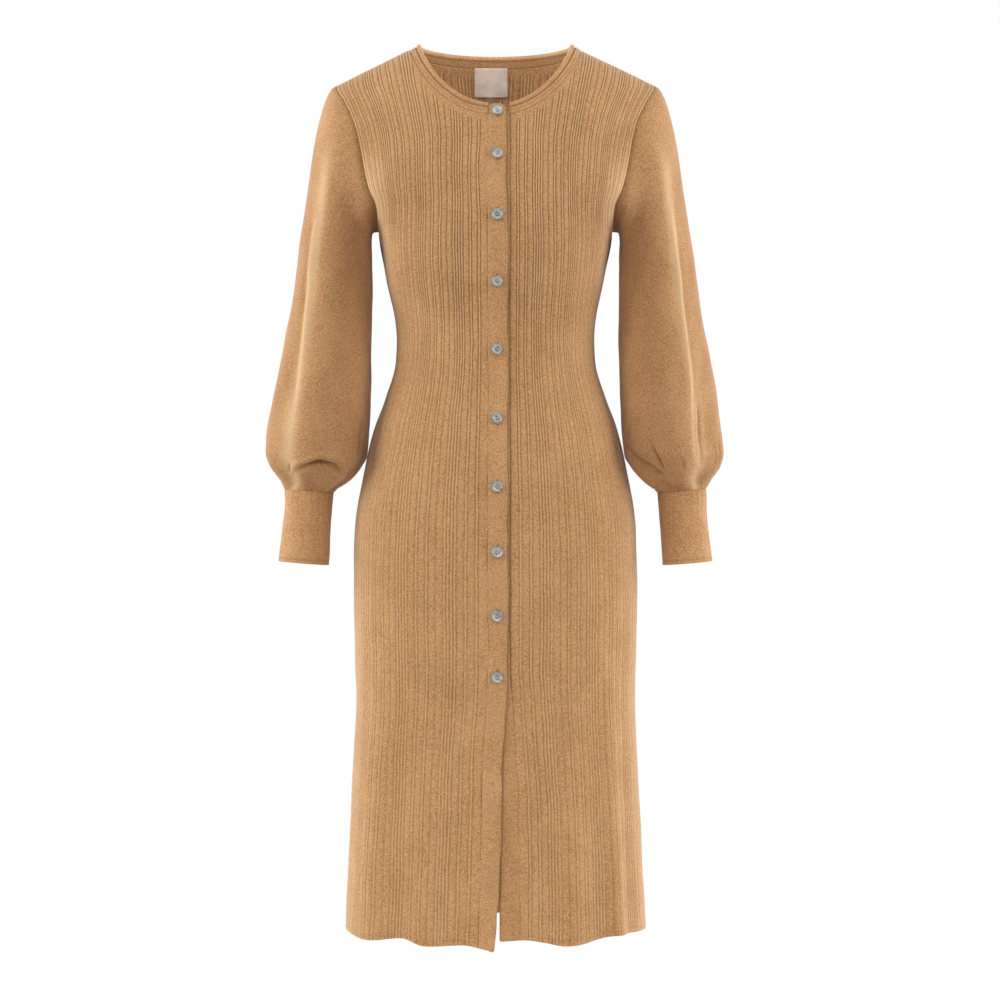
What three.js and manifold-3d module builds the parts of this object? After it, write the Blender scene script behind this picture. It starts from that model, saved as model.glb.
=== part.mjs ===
// A sweater dress in rib knit, filled out as if it were worn: hollow, open at neck, cuffs and hem.
// Millimetres, +Z up, +X to the wearer's left, the front faces -Y.
// The origin is midway between the two high shoulder points, where the wearer's shoulders carry it.
// Every wall is a form worked out from the tables below, given its thickness along its normal.

import * as THREE from 'three';
import Module from 'manifold-3d';
import { mergeVertices } from 'three/addons/utils/BufferGeometryUtils.js';

const wasm = await Module();
wasm.setup();

// ---------------------------------------------------------------- driving sizes

const WALL = 2; // thickness of the knit
const SEAM_GAP = 0.3; // clear space between two pieces at a seam
const HALF_GAP = SEAM_GAP / 2;
const LAYER_RISE = WALL + 0.6; // how far the upper button band lies above the lower one

const HEM_Z = -1120;
const UNDERARM_Z = -234;
const NECK_HALF = 97; // half width of the neck, to the middle of its rolled edge
const SEAM_HALF = 108; // half width where the neckband joins the body
const SHOULDER_HALF = 203; // half width at the shoulder point
const SHOULDER_SLOPE = 0.474; // fall of the shoulder line for each millimetre outwards
const NECK_RISE = 23; // how far the shoulder line would rise on to the middle of the neck
const NECK_POWER = 1.44; // roundness of the neckline
const CROSS_POWER = 2.2; // roundness of the body's cross section, 2 is an ellipse

// The front and the back differ in how low the neck is and in how far down the shoulder rounds over.
const FRONT = { way: -1, rollDrop: -90, seamDrop: -102, rounding: 190 };
const BACK = { way: 1, rollDrop: -5, seamDrop: -17, rounding: 150 };

// Levels of the body, lowest first. edge: half width to the side seam, and to the armhole above the
// underarm. full: half width of the cross section itself. front, back: its reach from the side line.
const LEVELS = [
  { z: -1130, edge: 191, full: 191, front: 126, back: 125 },
  { z: -1000, edge: 185, full: 185, front: 124, back: 124 },
  { z: -906, edge: 180, full: 180, front: 122, back: 123 },
  { z: -829, edge: 176.5, full: 176.5, front: 121, back: 124 },
  { z: -779, edge: 178, full: 178, front: 122, back: 126 },
  { z: -690, edge: 180, full: 180, front: 123, back: 129 },
  { z: -613, edge: 178, full: 178, front: 122, back: 127 },
  { z: -537, edge: 166, full: 166, front: 118, back: 117 },
  { z: -486, edge: 154, full: 154, front: 111, back: 106 },
  { z: -448, edge: 140, full: 140, front: 105, back: 97 },
  { z: -397, edge: 126, full: 126, front: 98, back: 87 },
  { z: -372, edge: 125, full: 125, front: 98, back: 85 },
  { z: -347, edge: 127, full: 127, front: 101, back: 87 },
  { z: -296, edge: 138, full: 138, front: 116, back: 95 },
  { z: -234, edge: 149, full: 149, front: 126, back: 103 },
  { z: -222, edge: 148.5, full: 156, front: 126, back: 105 },
  { z: -210, edge: 149, full: 166, front: 125, back: 106 },
  { z: -188, edge: 158, full: 185, front: 122, back: 108 },
  { z: -163, edge: 164.5, full: 193, front: 119, back: 109 },
  { z: -130, edge: 171, full: 203, front: 113, back: 108 },
  { z: -105, edge: 177, full: 210, front: 108, back: 105 },
  { z: -76, edge: 190, full: 222, front: 105, back: 102 },
  { z: -50, edge: 203, full: 232, front: 102, back: 100 },
  { z: 30, edge: 203, full: 240, front: 100, back: 97 },
];

// Soft vertical folds of the skirt. place: part of the half width, -1 and 1 at the side seams.
// height: at the hem, a trough where it is negative. width: as place. top: the level where it dies out.
const SKIRT_FOLDS = [
  { face: FRONT, place: -0.84, height: 6, width: 0.08, top: -700 },
  { face: FRONT, place: -0.62, height: -6, width: 0.1, top: -760 },
  { face: FRONT, place: -0.3, height: 3, width: 0.12, top: -820 },
  { face: FRONT, place: 0.36, height: -4, width: 0.12, top: -800 },
  { face: FRONT, place: 0.5, height: 4, width: 0.08, top: -740 },
  { face: FRONT, place: 0.66, height: -4, width: 0.07, top: -760 },
  { face: FRONT, place: 0.8, height: 6, width: 0.05, top: -720 },
  { face: FRONT, place: 0.9, height: -5, width: 0.05, top: -760 },
  { face: BACK, place: -0.7, height: 6, width: 0.09, top: -740 },
  { face: BACK, place: -0.46, height: -5, width: 0.1, top: -700 },
  { face: BACK, place: -0.14, height: 4, width: 0.12, top: -800 },
  { face: BACK, place: 0.2, height: -5, width: 0.12, top: -760 },
  { face: BACK, place: 0.52, height: 5, width: 0.1, top: -720 },
  { face: BACK, place: 0.78, height: -4, width: 0.08, top: -820 },
];

// How the hem dips and lifts along the front, lowest first across.
const HEM_WAVE = [
  { x: -190, dip: 3 },
  { x: -155, dip: 0 },
  { x: -118, dip: 5 },
  { x: -88, dip: -2 },
  { x: -40, dip: 1 },
  { x: -12, dip: -4 },
  { x: -2, dip: -7 },
  { x: 4, dip: 5 },
  { x: 14, dip: 6 },
  { x: 34, dip: 7 },
  { x: 60, dip: 3 },
  { x: 86, dip: -2 },
  { x: 112, dip: 0 },
  { x: 146, dip: 6 },
  { x: 190, dip: 4 },
];

// The two button bands, lowest first. upperSeam and upperEdge: the upper band's seam and free edge.
// lowerSeam: the lower band's seam. Below the last button they drift apart into a slit.
const BAND_LINES = [
  { z: -1130, upperSeam: -20, upperEdge: -2.3, lowerSeam: 29 },
  { z: -1080, upperSeam: -18.7, upperEdge: 2.5, lowerSeam: 29 },
  { z: -1033, upperSeam: -17.5, upperEdge: 5.7, lowerSeam: 29 },
  { z: -970, upperSeam: -16, upperEdge: 7, lowerSeam: 28.5 },
  { z: -893, upperSeam: -14.5, upperEdge: 8.8, lowerSeam: 24.5 },
  { z: -820, upperSeam: -10, upperEdge: 13.3, lowerSeam: 19.5 },
  { z: -780, upperSeam: -8.5, upperEdge: 15, lowerSeam: 17 },
  { z: -230, upperSeam: -8.5, upperEdge: 15, lowerSeam: 17 },
  { z: -170, upperSeam: -11, upperEdge: 13, lowerSeam: 17 },
  { z: -110, upperSeam: -8.5, upperEdge: 13.5, lowerSeam: 17 },
  { z: -80, upperSeam: -8.5, upperEdge: 13.5, lowerSeam: 17 },
];
const LOWER_BAND_WIDTH = 24;
const BAND_TOP_Z = -88;
const BAND_CORNER_DROP = 6; // how far the rounded corners of a band's top end lie below its middle
const FRONT_LIFT_REACH = 42; // width over which the right front rises to the upper band

const BUTTON_X = 2.4;
const FIRST_BUTTON_Z = -97;
const BUTTON_PITCHES = [54.5, 75, 79, 84, 86, 83.5, 80, 78, 75]; // from each button down to the next
const BUTTON_RADIUS = 7;
const BUTTON_THICKNESS = 2.4;
const BUTTON_CLEAR = 0.8; // how far a button stands off the upper band
const BUTTON_SIDES = 10;
const SHANK_RADIUS = 1.1;
const BUTTONHOLE = { width: 3.2, length: 16, depth: 12 };

// Sections of the sleeve, from the armhole down. outX, outZ: its outermost point; inX, inZ: its
// innermost; front, back: its reach either way in y. hold: how much of the armhole's own outline stays.
const SLEEVE_SECTIONS = [
  { outX: 203, outZ: -50, inX: 149, inZ: -234, front: -66, back: 60, hold: 1 },
  { outX: 209, outZ: -55, inX: 155, inZ: -234, front: -67, back: 61, hold: 0.9 },
  { outX: 216, outZ: -70, inX: 158, inZ: -238, front: -67, back: 60, hold: 0.6 },
  { outX: 223, outZ: -94, inX: 158, inZ: -246, front: -66, back: 58, hold: 0.3 },
  { outX: 230.5, outZ: -130, inX: 157, inZ: -258, front: -63, back: 55, hold: 0 },
  { outX: 239, outZ: -190, inX: 156.5, inZ: -278, front: -60, back: 50, hold: 0 },
  { outX: 248, outZ: -250, inX: 156.5, inZ: -305, front: -60, back: 46, hold: 0 },
  { outX: 257, outZ: -320, inX: 156.5, inZ: -350, front: -63, back: 43, hold: 0 },
  { outX: 268, outZ: -385, inX: 156.5, inZ: -402, front: -69, back: 41, hold: 0 },
  { outX: 279.5, outZ: -446, inX: 157.5, inZ: -455, front: -77, back: 41, hold: 0 },
  { outX: 288.5, outZ: -495, inX: 159.5, inZ: -497, front: -84, back: 40, hold: 0 },
  { outX: 290, outZ: -515, inX: 162, inZ: -519, front: -85, back: 39, hold: 0 },
  { outX: 285, outZ: -531, inX: 170, inZ: -533, front: -80, back: 34, hold: 0 },
  { outX: 277.5, outZ: -541, inX: 181.5, inZ: -547, front: -70, back: 24, hold: 0 },
  { outX: 271, outZ: -549, inX: 192, inZ: -555, front: -60, back: 14, hold: 0 },
  { outX: 268, outZ: -555.5, inX: 199, inZ: -559.5, front: -55, back: 9.5, hold: 0 },
  { outX: 266.5, outZ: -561, inX: 203.5, inZ: -565, front: -53, back: 8, hold: 0 },
];

// Sections of the cuff, from its seam down to its slightly slanted, slightly flared end.
const CUFF_SECTIONS = [
  { outX: 266, outZ: -561, inX: 204, inZ: -565, front: -52.5, back: 7.5, hold: 0 },
  { outX: 265.5, outZ: -580, inX: 206, inZ: -585, front: -53, back: 6, hold: 0 },
  { outX: 269, outZ: -617, inX: 208.5, inZ: -621, front: -55, back: 6, hold: 0 },
  { outX: 273.5, outZ: -652, inX: 210, inZ: -657, front: -59, back: 6, hold: 0 },
];

// Gathers and folds of each sleeve. turn: degrees round from the outside through the front.
// height: a trough where it is negative. width: degrees. bottom, top: where it is full and where it ends.
const LEFT_SLEEVE_FOLDS = [
  { turn: 18, height: 3, width: 16, bottom: -480, top: -180 },
  { turn: 58, height: -3, width: 15, bottom: -535, top: -430 },
  { turn: 84, height: 3, width: 12, bottom: -535, top: -440 },
  { turn: 118, height: -4, width: 14, bottom: -535, top: -400 },
  { turn: 150, height: 3, width: 14, bottom: -535, top: -440 },
  { turn: 205, height: -3, width: 15, bottom: -535, top: -420 },
  { turn: 245, height: 3, width: 16, bottom: -535, top: -430 },
  { turn: 290, height: -4, width: 15, bottom: -535, top: -410 },
  { turn: 325, height: 3, width: 14, bottom: -535, top: -450 },
];
const RIGHT_SLEEVE_FOLDS = [
  { turn: 30, height: 3, width: 16, bottom: -480, top: -200 },
  { turn: 62, height: -3, width: 14, bottom: -535, top: -440 },
  { turn: 92, height: -4, width: 15, bottom: -535, top: -470 },
  { turn: 130, height: 3, width: 16, bottom: -520, top: -380 },
  { turn: 160, height: -3, width: 14, bottom: -535, top: -430 },
  { turn: 215, height: 3, width: 15, bottom: -535, top: -430 },
  { turn: 255, height: -4, width: 16, bottom: -535, top: -410 },
  { turn: 300, height: 3, width: 15, bottom: -535, top: -420 },
  { turn: 335, height: -3, width: 14, bottom: -535, top: -450 },
];

const LABEL = { x: -6, top: -14, width: 44, height: 35.5, wall: 1, clear: 1.8 };
const SIZE_TAB = { x: -6, top: -49.9, width: 16, height: 11, wall: 1, clear: 1.8 };

// How finely each form is divided.
const NECK_COLUMNS = 5; // columns of a half panel that end at the neck
const SHOULDER_COLUMNS = 4; // columns that end at the shoulder line
const ARM_ROWS = 9; // rows from the underarm up to the shoulder point
const SIDE_ROWS = [
  -1097, -1050, -985, -910, -850, -791, -717, -639,
  -559, -516, -474, -431, -388, -346, -304, -272,
];

// ---------------------------------------------------------------- materials

const material = (color, roughness) => new THREE.MeshStandardMaterial({ color, roughness, metalness: 0 });
const RIB_KNIT = material(0xb98d62, 0.9);
const JERSEY = material(0xbb9068, 0.9);
const SHELL_BUTTON = material(0x8f9490, 0.3);
const LABEL_CLOTH = material(0xbeac9d, 0.7);
const TAB_CLOTH = material(0x9a7c60, 0.8);

// ---------------------------------------------------------------- curves through tables

// A smooth curve through the rows of a table, with no overshoot between them, level past the ends.
function curveThrough(rows, at, key) {
  const xs = rows.map((row) => row[at]);
  const ys = rows.map((row) => row[key]);
  const last = xs.length - 1;
  const steps = xs.slice(1).map((x, i) => (ys[i + 1] - ys[i]) / (x - xs[i]));
  const slopes = ys.map((_, i) => {
    const before = steps[Math.max(i - 1, 0)];
    const after = steps[Math.min(i, last - 1)];
    return before * after <= 0 ? 0 : (2 * before * after) / (before + after);
  });
  return (x) => {
    if (x <= xs[0]) return ys[0];
    if (x >= xs[last]) return ys[last];
    const i = xs.findIndex((edge) => edge > x) - 1;
    const span = xs[i + 1] - xs[i];
    const t = (x - xs[i]) / span;
    const rise = t * t * (3 - 2 * t);
    const leave = t * (1 - t) * (1 - t) * span * slopes[i];
    const arrive = t * t * (1 - t) * span * slopes[i + 1];
    return ys[i] + (ys[i + 1] - ys[i]) * rise + leave - arrive;
  };
}

const edgeAt = curveThrough(LEVELS, 'z', 'edge');
const fullAt = curveThrough(LEVELS, 'z', 'full');
const reachAt = { front: curveThrough(LEVELS, 'z', 'front'), back: curveThrough(LEVELS, 'z', 'back') };
const upperSeamAt = curveThrough(BAND_LINES, 'z', 'upperSeam');
const upperEdgeAt = curveThrough(BAND_LINES, 'z', 'upperEdge');
const lowerSeamAt = curveThrough(BAND_LINES, 'z', 'lowerSeam');
const hemDipAt = curveThrough(HEM_WAVE, 'x', 'dip');

const clamp01 = (t) => Math.min(1, Math.max(0, t));
const ease = (t) => clamp01(t) ** 2 * (3 - 2 * clamp01(t));
const mix = THREE.MathUtils.lerp;

// Half widths are measured outside the cloth, and the form is the middle of the wall.
const panelEdge = (z) => edgeAt(z) - WALL / 2;
const sectionHalf = (z) => fullAt(z) - WALL / 2;

// ---------------------------------------------------------------- the body's form

// Height of the shoulder line. Over the neck it rises on, where nothing is built.
function shoulderLine(x) {
  const out = Math.abs(x);
  if (out > NECK_HALF) return -SHOULDER_SLOPE * (out - NECK_HALF);
  return NECK_RISE * (1 - (out / NECK_HALF) ** 2);
}

// 0 on the shoulder line and 1 where the chest or the back has its full reach.
function shoulderRound(face, x, z) {
  const below = clamp01((shoulderLine(x) - z) / face.rounding);
  return Math.sqrt(1 - (1 - below) ** 2);
}

const reach = (face, z) => (face === FRONT ? reachAt.front(z) : reachAt.back(z)) - WALL / 2;

function formPoint(face, x, z) {
  const across = Math.max(0, 1 - Math.abs(x / sectionHalf(z)) ** CROSS_POWER) ** (1 / CROSS_POWER);
  return new THREE.Vector3(x, face.way * reach(face, z) * across * shoulderRound(face, x, z), z);
}

// The form as a level surface: 0 on it, more outside it.
function formLevel(face, x, y, z) {
  const round = shoulderRound(face, x, z) ** CROSS_POWER;
  const outwards = Math.abs(y / reach(face, z)) ** CROSS_POWER;
  return outwards + round * (Math.abs(x / sectionHalf(z)) ** CROSS_POWER - 1);
}

function formNormal(face, { x, y, z }) {
  const step = 0.5;
  const slope = (dx, dy, dz) =>
    formLevel(face, x + dx, y + dy, z + dz) - formLevel(face, x - dx, y - dy, z - dz);
  return new THREE.Vector3(slope(step, 0, 0), slope(0, step, 0), slope(0, 0, step)).normalize();
}

function foldHeight(face, x, z) {
  const place = x / sectionHalf(z);
  return SKIRT_FOLDS.filter((fold) => fold.face === face).reduce((sum, fold) => {
    const along = ease((fold.top - z) / (fold.top - HEM_Z));
    return sum + fold.height * along * Math.exp(-(((place - fold.place) / fold.width) ** 2));
  }, 0);
}

// A node of a cloth grid: the middle of the wall, and the half wall from there to its outer face.
function skin(face, x, z, lift = 0, wall = WALL) {
  const at = formPoint(face, x, z);
  const normal = formNormal(face, at);
  at.addScaledVector(normal, foldHeight(face, x, z) + lift);
  return { at, half: normal.multiplyScalar(wall / 2) };
}

const hemAt = (face, x) => HEM_Z + (face === FRONT ? hemDipAt(x) : 0);

// ---------------------------------------------------------------- cloth walls

// Draws the outline of a grid in by half a seam's gap, so that neighbours keep clear of each other.
function drawIn(grid, round) {
  const towards = (node, inner) => {
    const way = inner.at.clone().sub(node.at).normalize();
    return { at: node.at.clone().addScaledVector(way, HALF_GAP), half: node.half };
  };
  const rows = grid.length;
  const drawn = grid.map((row, i) => {
    if (i === 0) return row.map((node, j) => towards(node, grid[1][j]));
    if (i === rows - 1) return row.map((node, j) => towards(node, grid[rows - 2][j]));
    return [...row];
  });
  if (round) return drawn;
  return drawn.map((row) => {
    const end = row.length - 1;
    const first = towards(row[0], row[1]);
    const last = towards(row[end], row[end - 1]);
    return [first, ...row.slice(1, end), last];
  });
}

// A closed wall on a grid of nodes: an outer face, an inner face and the rims between them.
function clothWall(nodes, round = false) {
  const grid = drawIn(nodes, round);
  const rows = grid.length;
  const columns = grid[0].length;
  const spans = round ? columns : columns - 1;
  const positions = [];
  for (const way of [1, -1]) {
    for (const row of grid) {
      for (const node of row) positions.push(...node.at.clone().addScaledVector(node.half, way).toArray());
    }
  }
  const outer = (i, j) => i * columns + (j % columns);
  const inner = (i, j) => rows * columns + outer(i, j);
  const indices = [];
  const quad = (a, b, c, d) => indices.push(a, b, c, a, c, d);
  for (let i = 0; i < rows - 1; i += 1) {
    for (let j = 0; j < spans; j += 1) {
      quad(outer(i, j), outer(i, j + 1), outer(i + 1, j + 1), outer(i + 1, j));
      quad(inner(i, j), inner(i + 1, j), inner(i + 1, j + 1), inner(i, j + 1));
    }
  }
  for (let j = 0; j < spans; j += 1) {
    quad(outer(0, j), inner(0, j), inner(0, j + 1), outer(0, j + 1));
    quad(outer(rows - 1, j), outer(rows - 1, j + 1), inner(rows - 1, j + 1), inner(rows - 1, j));
  }
  for (let i = 0; i < rows - 1 && !round; i += 1) {
    quad(outer(i, 0), outer(i + 1, 0), inner(i + 1, 0), inner(i, 0));
    quad(outer(i, spans), inner(i, spans), inner(i + 1, spans), outer(i + 1, spans));
  }
  return facingOut(positions, indices);
}

// A geometry whose faces point out, whichever way round its grid was laid.
function facingOut(positions, indices) {
  const corner = (i) => new THREE.Vector3().fromArray(positions, 3 * indices[i]);
  let volume = 0;
  for (let i = 0; i < indices.length; i += 3) {
    volume += corner(i).dot(corner(i + 1).cross(corner(i + 2)));
  }
  if (volume < 0) indices.reverse();
  const geometry = new THREE.BufferGeometry();
  geometry.setAttribute('position', new THREE.Float32BufferAttribute(positions, 3));
  geometry.setIndex(indices);
  return geometry;
}

// ---------------------------------------------------------------- neckline and armhole

// A point of the neckline. turn: 0 at the middle of the front or the back, a right angle at the shoulder.
function neckSeam(face, turn) {
  const z = shoulderLine(SEAM_HALF) * Math.sin(turn) ** 2 + face.seamDrop * Math.cos(turn) ** NECK_POWER;
  return { x: SEAM_HALF * Math.sin(turn), z };
}

function neckRoll(face, turn) {
  return { x: NECK_HALF * Math.sin(turn), z: face.rollDrop * Math.cos(turn) ** NECK_POWER };
}

// Even turns along a quarter of the neckline, from the x where it starts to the shoulder.
function neckTurns(start, steps) {
  const first = Math.asin(start / SEAM_HALF);
  return Array.from({ length: steps + 1 }, (_, k) => mix(first, Math.PI / 2, k / steps));
}

// turn: 0 at the shoulder point, a half turn at the underarm, on round the back.
function armholePoint(turn) {
  const z = mix(UNDERARM_Z, shoulderLine(SHOULDER_HALF - WALL / 2), (1 + Math.cos(turn)) / 2);
  return formPoint(turn <= Math.PI ? FRONT : BACK, panelEdge(z), z);
}

// ---------------------------------------------------------------- sleeves and cuffs

function sectionPoint(section, turn) {
  const middle = (section.front + section.back) / 2;
  const half = (section.back - section.front) / 2 - WALL / 2;
  const outwards = (1 + Math.cos(turn)) / 2;
  const x = mix(section.inX + WALL / 2, section.outX - WALL / 2, outwards);
  const z = mix(section.inZ, section.outZ, outwards);
  return new THREE.Vector3(x, middle - half * Math.sin(turn), z);
}

// The sleeve keeps the armhole's own outline at its head, and loses it over the first sections.
function sleevePoint(section, turn) {
  const head = sectionPoint(SLEEVE_SECTIONS[0], turn);
  const own = armholePoint(turn).sub(head);
  return sectionPoint(section, turn).addScaledVector(own, section.hold);
}

function sleeveFoldHeight(folds, turn, z) {
  return folds.reduce((sum, fold) => {
    const along = ease((fold.top - z) / (fold.top - fold.bottom));
    const past = THREE.MathUtils.radToDeg(turn) - fold.turn + 180;
    const gap = THREE.MathUtils.euclideanModulo(past, 360) - 180;
    const ending = ease((z - SLEEVE_SECTIONS.at(-1).outZ) / 18);
    return sum + fold.height * along * ending * Math.exp(-((gap / fold.width) ** 2));
  }, 0);
}

const TURNS = Array.from({ length: 2 * ARM_ROWS }, (_, k) => (Math.PI * k) / ARM_ROWS);

// Normals of a grid of points that closes on itself along its rows.
function roundNormal(points, i, j) {
  const count = points[i].length;
  const down = points[Math.min(i + 1, points.length - 1)][j].clone().sub(points[Math.max(i - 1, 0)][j]);
  const along = points[i][(j + 1) % count].clone().sub(points[i][(j + count - 1) % count]);
  return along.cross(down).normalize();
}

// The half wall shared by the body and the sleeve along the armhole: it halves the corner between them.
function armholeHalf(turn) {
  const at = armholePoint(turn);
  const bodyNormal = formNormal(turn <= Math.PI ? FRONT : BACK, at);
  const step = 0.05;
  const along = armholePoint(turn + step).sub(armholePoint(Math.max(turn - step, 0)));
  const outwards = sleevePoint(SLEEVE_SECTIONS[1], turn).sub(at);
  const sleeveNormal = along.cross(outwards).normalize();
  const corner = bodyNormal.add(sleeveNormal);
  return corner.normalize().multiplyScalar(WALL / 2);
}

function sleeveWall(folds) {
  const points = SLEEVE_SECTIONS.map((section) => TURNS.map((turn) => sleevePoint(section, turn)));
  const last = points.length - 1;
  const nodes = points.map((ring, i) =>
    ring.map((at, j) => {
      if (i === 0) return { at, half: armholeHalf(TURNS[j]) };
      const normal = roundNormal(points, i, j);
      if (i === last) normal.setZ(0).normalize();
      const lifted = at.clone().addScaledVector(normal, sleeveFoldHeight(folds, TURNS[j], at.z));
      return { at: lifted, half: normal.multiplyScalar(WALL / 2) };
    }),
  );
  return clothWall(nodes, true);
}

function cuffWall() {
  const points = CUFF_SECTIONS.map((section) => TURNS.map((turn) => sectionPoint(section, turn)));
  const nodes = points.map((ring, i) =>
    ring.map((at, j) => {
      const level = roundNormal(points, i, j).setZ(0).normalize();
      return { at, half: level.multiplyScalar(WALL / 2) };
    }),
  );
  return clothWall(nodes, true);
}

// ---------------------------------------------------------------- body panels

// The columns of a half panel, each given by where it ends at the neck or on the shoulder line.
// side: 1 towards the wearer's left. start: the x of its first column at the neck.
function panelTops(face, start) {
  const neck = neckTurns(start, NECK_COLUMNS).slice(0, -1).map((turn) => neckSeam(face, turn));
  const shoulder = Array.from({ length: SHOULDER_COLUMNS + 1 }, (_, k) => {
    const x = mix(SEAM_HALF, SHOULDER_HALF - WALL / 2, k / SHOULDER_COLUMNS);
    return { x, z: shoulderLine(x) };
  });
  return [...neck, ...shoulder];
}

// The nodes of a half panel, rows from the hem up. seamAt: x of its first column, positive outwards.
function halfPanel(face, side, seamAt, liftAt) {
  const tops = panelTops(face, seamAt(face.seamDrop));
  const armTurns = TURNS.slice(0, ARM_ROWS + 1);
  const column = (top, isEdge) => {
    const share = (top.x - seamAt(top.z)) / (panelEdge(top.z) - seamAt(top.z));
    const xAt = (z) => mix(seamAt(z), panelEdge(z), share);
    const node = (z) => skin(face, side * xAt(z), z, liftAt(side * xAt(z)));
    const hem = hemAt(face, side * xAt(HEM_Z));
    const lower = [hem, ...SIDE_ROWS].map(node);
    const upper = armTurns.toReversed().map((turn) => {
      if (isEdge) return armholeNode(face, side, turn);
      return node(mix(UNDERARM_Z, top.z, (1 + Math.cos(turn)) / 2));
    });
    return [...lower, ...upper];
  };
  const columns = tops.map((top, j) => column(top, j === tops.length - 1));
  return columns[0].map((_, i) => columns.map((nodes) => nodes[i]));
}

function armholeNode(face, side, turn) {
  const round = face === FRONT ? turn : 2 * Math.PI - turn;
  const at = turn === 0 ? armholePoint(0) : armholePoint(round);
  const half = armholeHalf(turn === 0 ? 0 : round);
  if (turn === 0 || turn === Math.PI) half.setY(0);
  at.x *= side;
  half.x *= side;
  return { at, half };
}

const flat = () => 0;

// The right front rises on to the upper button band, so that band lies over the other.
const rightLift = (x) => LAYER_RISE * ease(1 + (x - upperSeamAt(0)) / FRONT_LIFT_REACH);

const rightFront = () => clothWall(halfPanel(FRONT, -1, (z) => -upperSeamAt(z), rightLift));
const leftFront = () => clothWall(halfPanel(FRONT, 1, lowerSeamAt, flat));

function backPanel() {
  const left = halfPanel(BACK, 1, flat, flat);
  const right = halfPanel(BACK, -1, flat, flat);
  return clothWall(left.map((row, i) => [...right[i].slice(1).reverse(), ...row]));
}

// ---------------------------------------------------------------- neckband

// Outline of the neckband's rolled edge. along: from the middle of the roll towards the seam.
// out: away from the wearer. The flat strip goes on from its two ends to the seam.
const ROLL_RADIUS = 3;
const NECKBAND_OUTLINE = [
  { along: 2.6, out: WALL / 2 + 0.2 },
  ...[60, 120, 180, 240, 300].map((degrees) => ({
    along: ROLL_RADIUS * Math.cos(THREE.MathUtils.degToRad(degrees)),
    out: ROLL_RADIUS * Math.sin(THREE.MathUtils.degToRad(degrees)),
  })),
  { along: 2.6, out: -WALL / 2 - 0.2 },
];

// The nodes of a quarter of the neckband's foot: it follows the panels' own straight edges, so between
// two of their columns it lies midway.
function neckbandFeet(face, side, start) {
  const corners = neckTurns(start, NECK_COLUMNS).map((turn) => {
    const seam = neckSeam(face, turn);
    return skin(face, side * seam.x, seam.z, neckLift(face, side * seam.x));
  });
  return corners.flatMap((node, k) => {
    if (k === 0) return [node];
    const before = corners[k - 1];
    const at = node.at.clone().lerp(before.at, 0.5);
    const half = node.half.clone().lerp(before.half, 0.5);
    return [{ at, half }, node];
  });
}

const neckLift = (face, x) => (face === FRONT && x < 0 ? rightLift(x) : 0);

// The sections of a quarter of the neckband, from the middle of the front or back to the shoulder.
function neckbandQuarter(face, side, start) {
  const feet = neckbandFeet(face, side, start);
  return neckTurns(start, feet.length - 1).map((turn, k) => {
    const roll = neckRoll(face, turn);
    const x = k === 0 ? Math.max(start, roll.x) : roll.x;
    return neckbandSection(skin(face, side * x, roll.z, neckLift(face, side * x)), feet[k]);
  });
}

function neckbandSection(top, foot) {
  const down = foot.at.clone().sub(top.at);
  const strip = down.length() - HALF_GAP;
  down.normalize();
  const out = top.half.clone().normalize();
  out.addScaledVector(down, -out.dot(down)).normalize();
  const end = top.at.clone().addScaledVector(down, strip);
  const near = NECKBAND_OUTLINE.map((spot) =>
    top.at.clone().addScaledVector(down, spot.along).addScaledVector(out, spot.out),
  );
  return [end.clone().add(foot.half), ...near, end.clone().sub(foot.half)];
}

// The whole neckband: from the upper band's seam, round the wearer's right shoulder and the back, to
// the lower band's seam. Its two ends are drawn in by half a seam's gap.
function neckbandSections() {
  const sections = [
    ...neckbandQuarter(FRONT, -1, -upperSeamAt(0)),
    ...neckbandQuarter(BACK, -1, 0).reverse().slice(1),
    ...neckbandQuarter(BACK, 1, 0).slice(1),
    ...neckbandQuarter(FRONT, 1, lowerSeamAt(0)).reverse().slice(1),
  ];
  sections[0].forEach((point) => point.setX(upperSeamAt(0) - HALF_GAP));
  sections.at(-1).forEach((point) => point.setX(lowerSeamAt(0) + HALF_GAP));
  return sections;
}

// Joins a row of closed sections of equal length into one solid with flat ends.
function loft(sections) {
  const count = sections[0].length;
  const positions = sections.flatMap((section) => section.flatMap((point) => point.toArray()));
  const indices = [];
  for (let i = 0; i < sections.length - 1; i += 1) {
    for (let j = 0; j < count; j += 1) {
      const a = i * count + j;
      const b = i * count + ((j + 1) % count);
      indices.push(a, b, b + count, a, b + count, a + count);
    }
  }
  const end = (sections.length - 1) * count;
  for (const [a, b, c] of sectionTriangles(count)) {
    indices.push(a, c, b, end + a, end + b, end + c);
  }
  return facingOut(positions, indices);
}

// The neckband's section as triangles: the strip first, then the roll beyond its neck.
function sectionTriangles(count) {
  const last = count - 1;
  const triangles = [[0, 1, last], [1, last - 1, last]];
  for (let j = 1; j < last - 2; j += 1) triangles.push([j, j + 1, last - 1]);
  return triangles;
}

const neckband = () => loft(neckbandSections());

// ---------------------------------------------------------------- button bands and buttons

const BAND_COLUMNS = 2;

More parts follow.
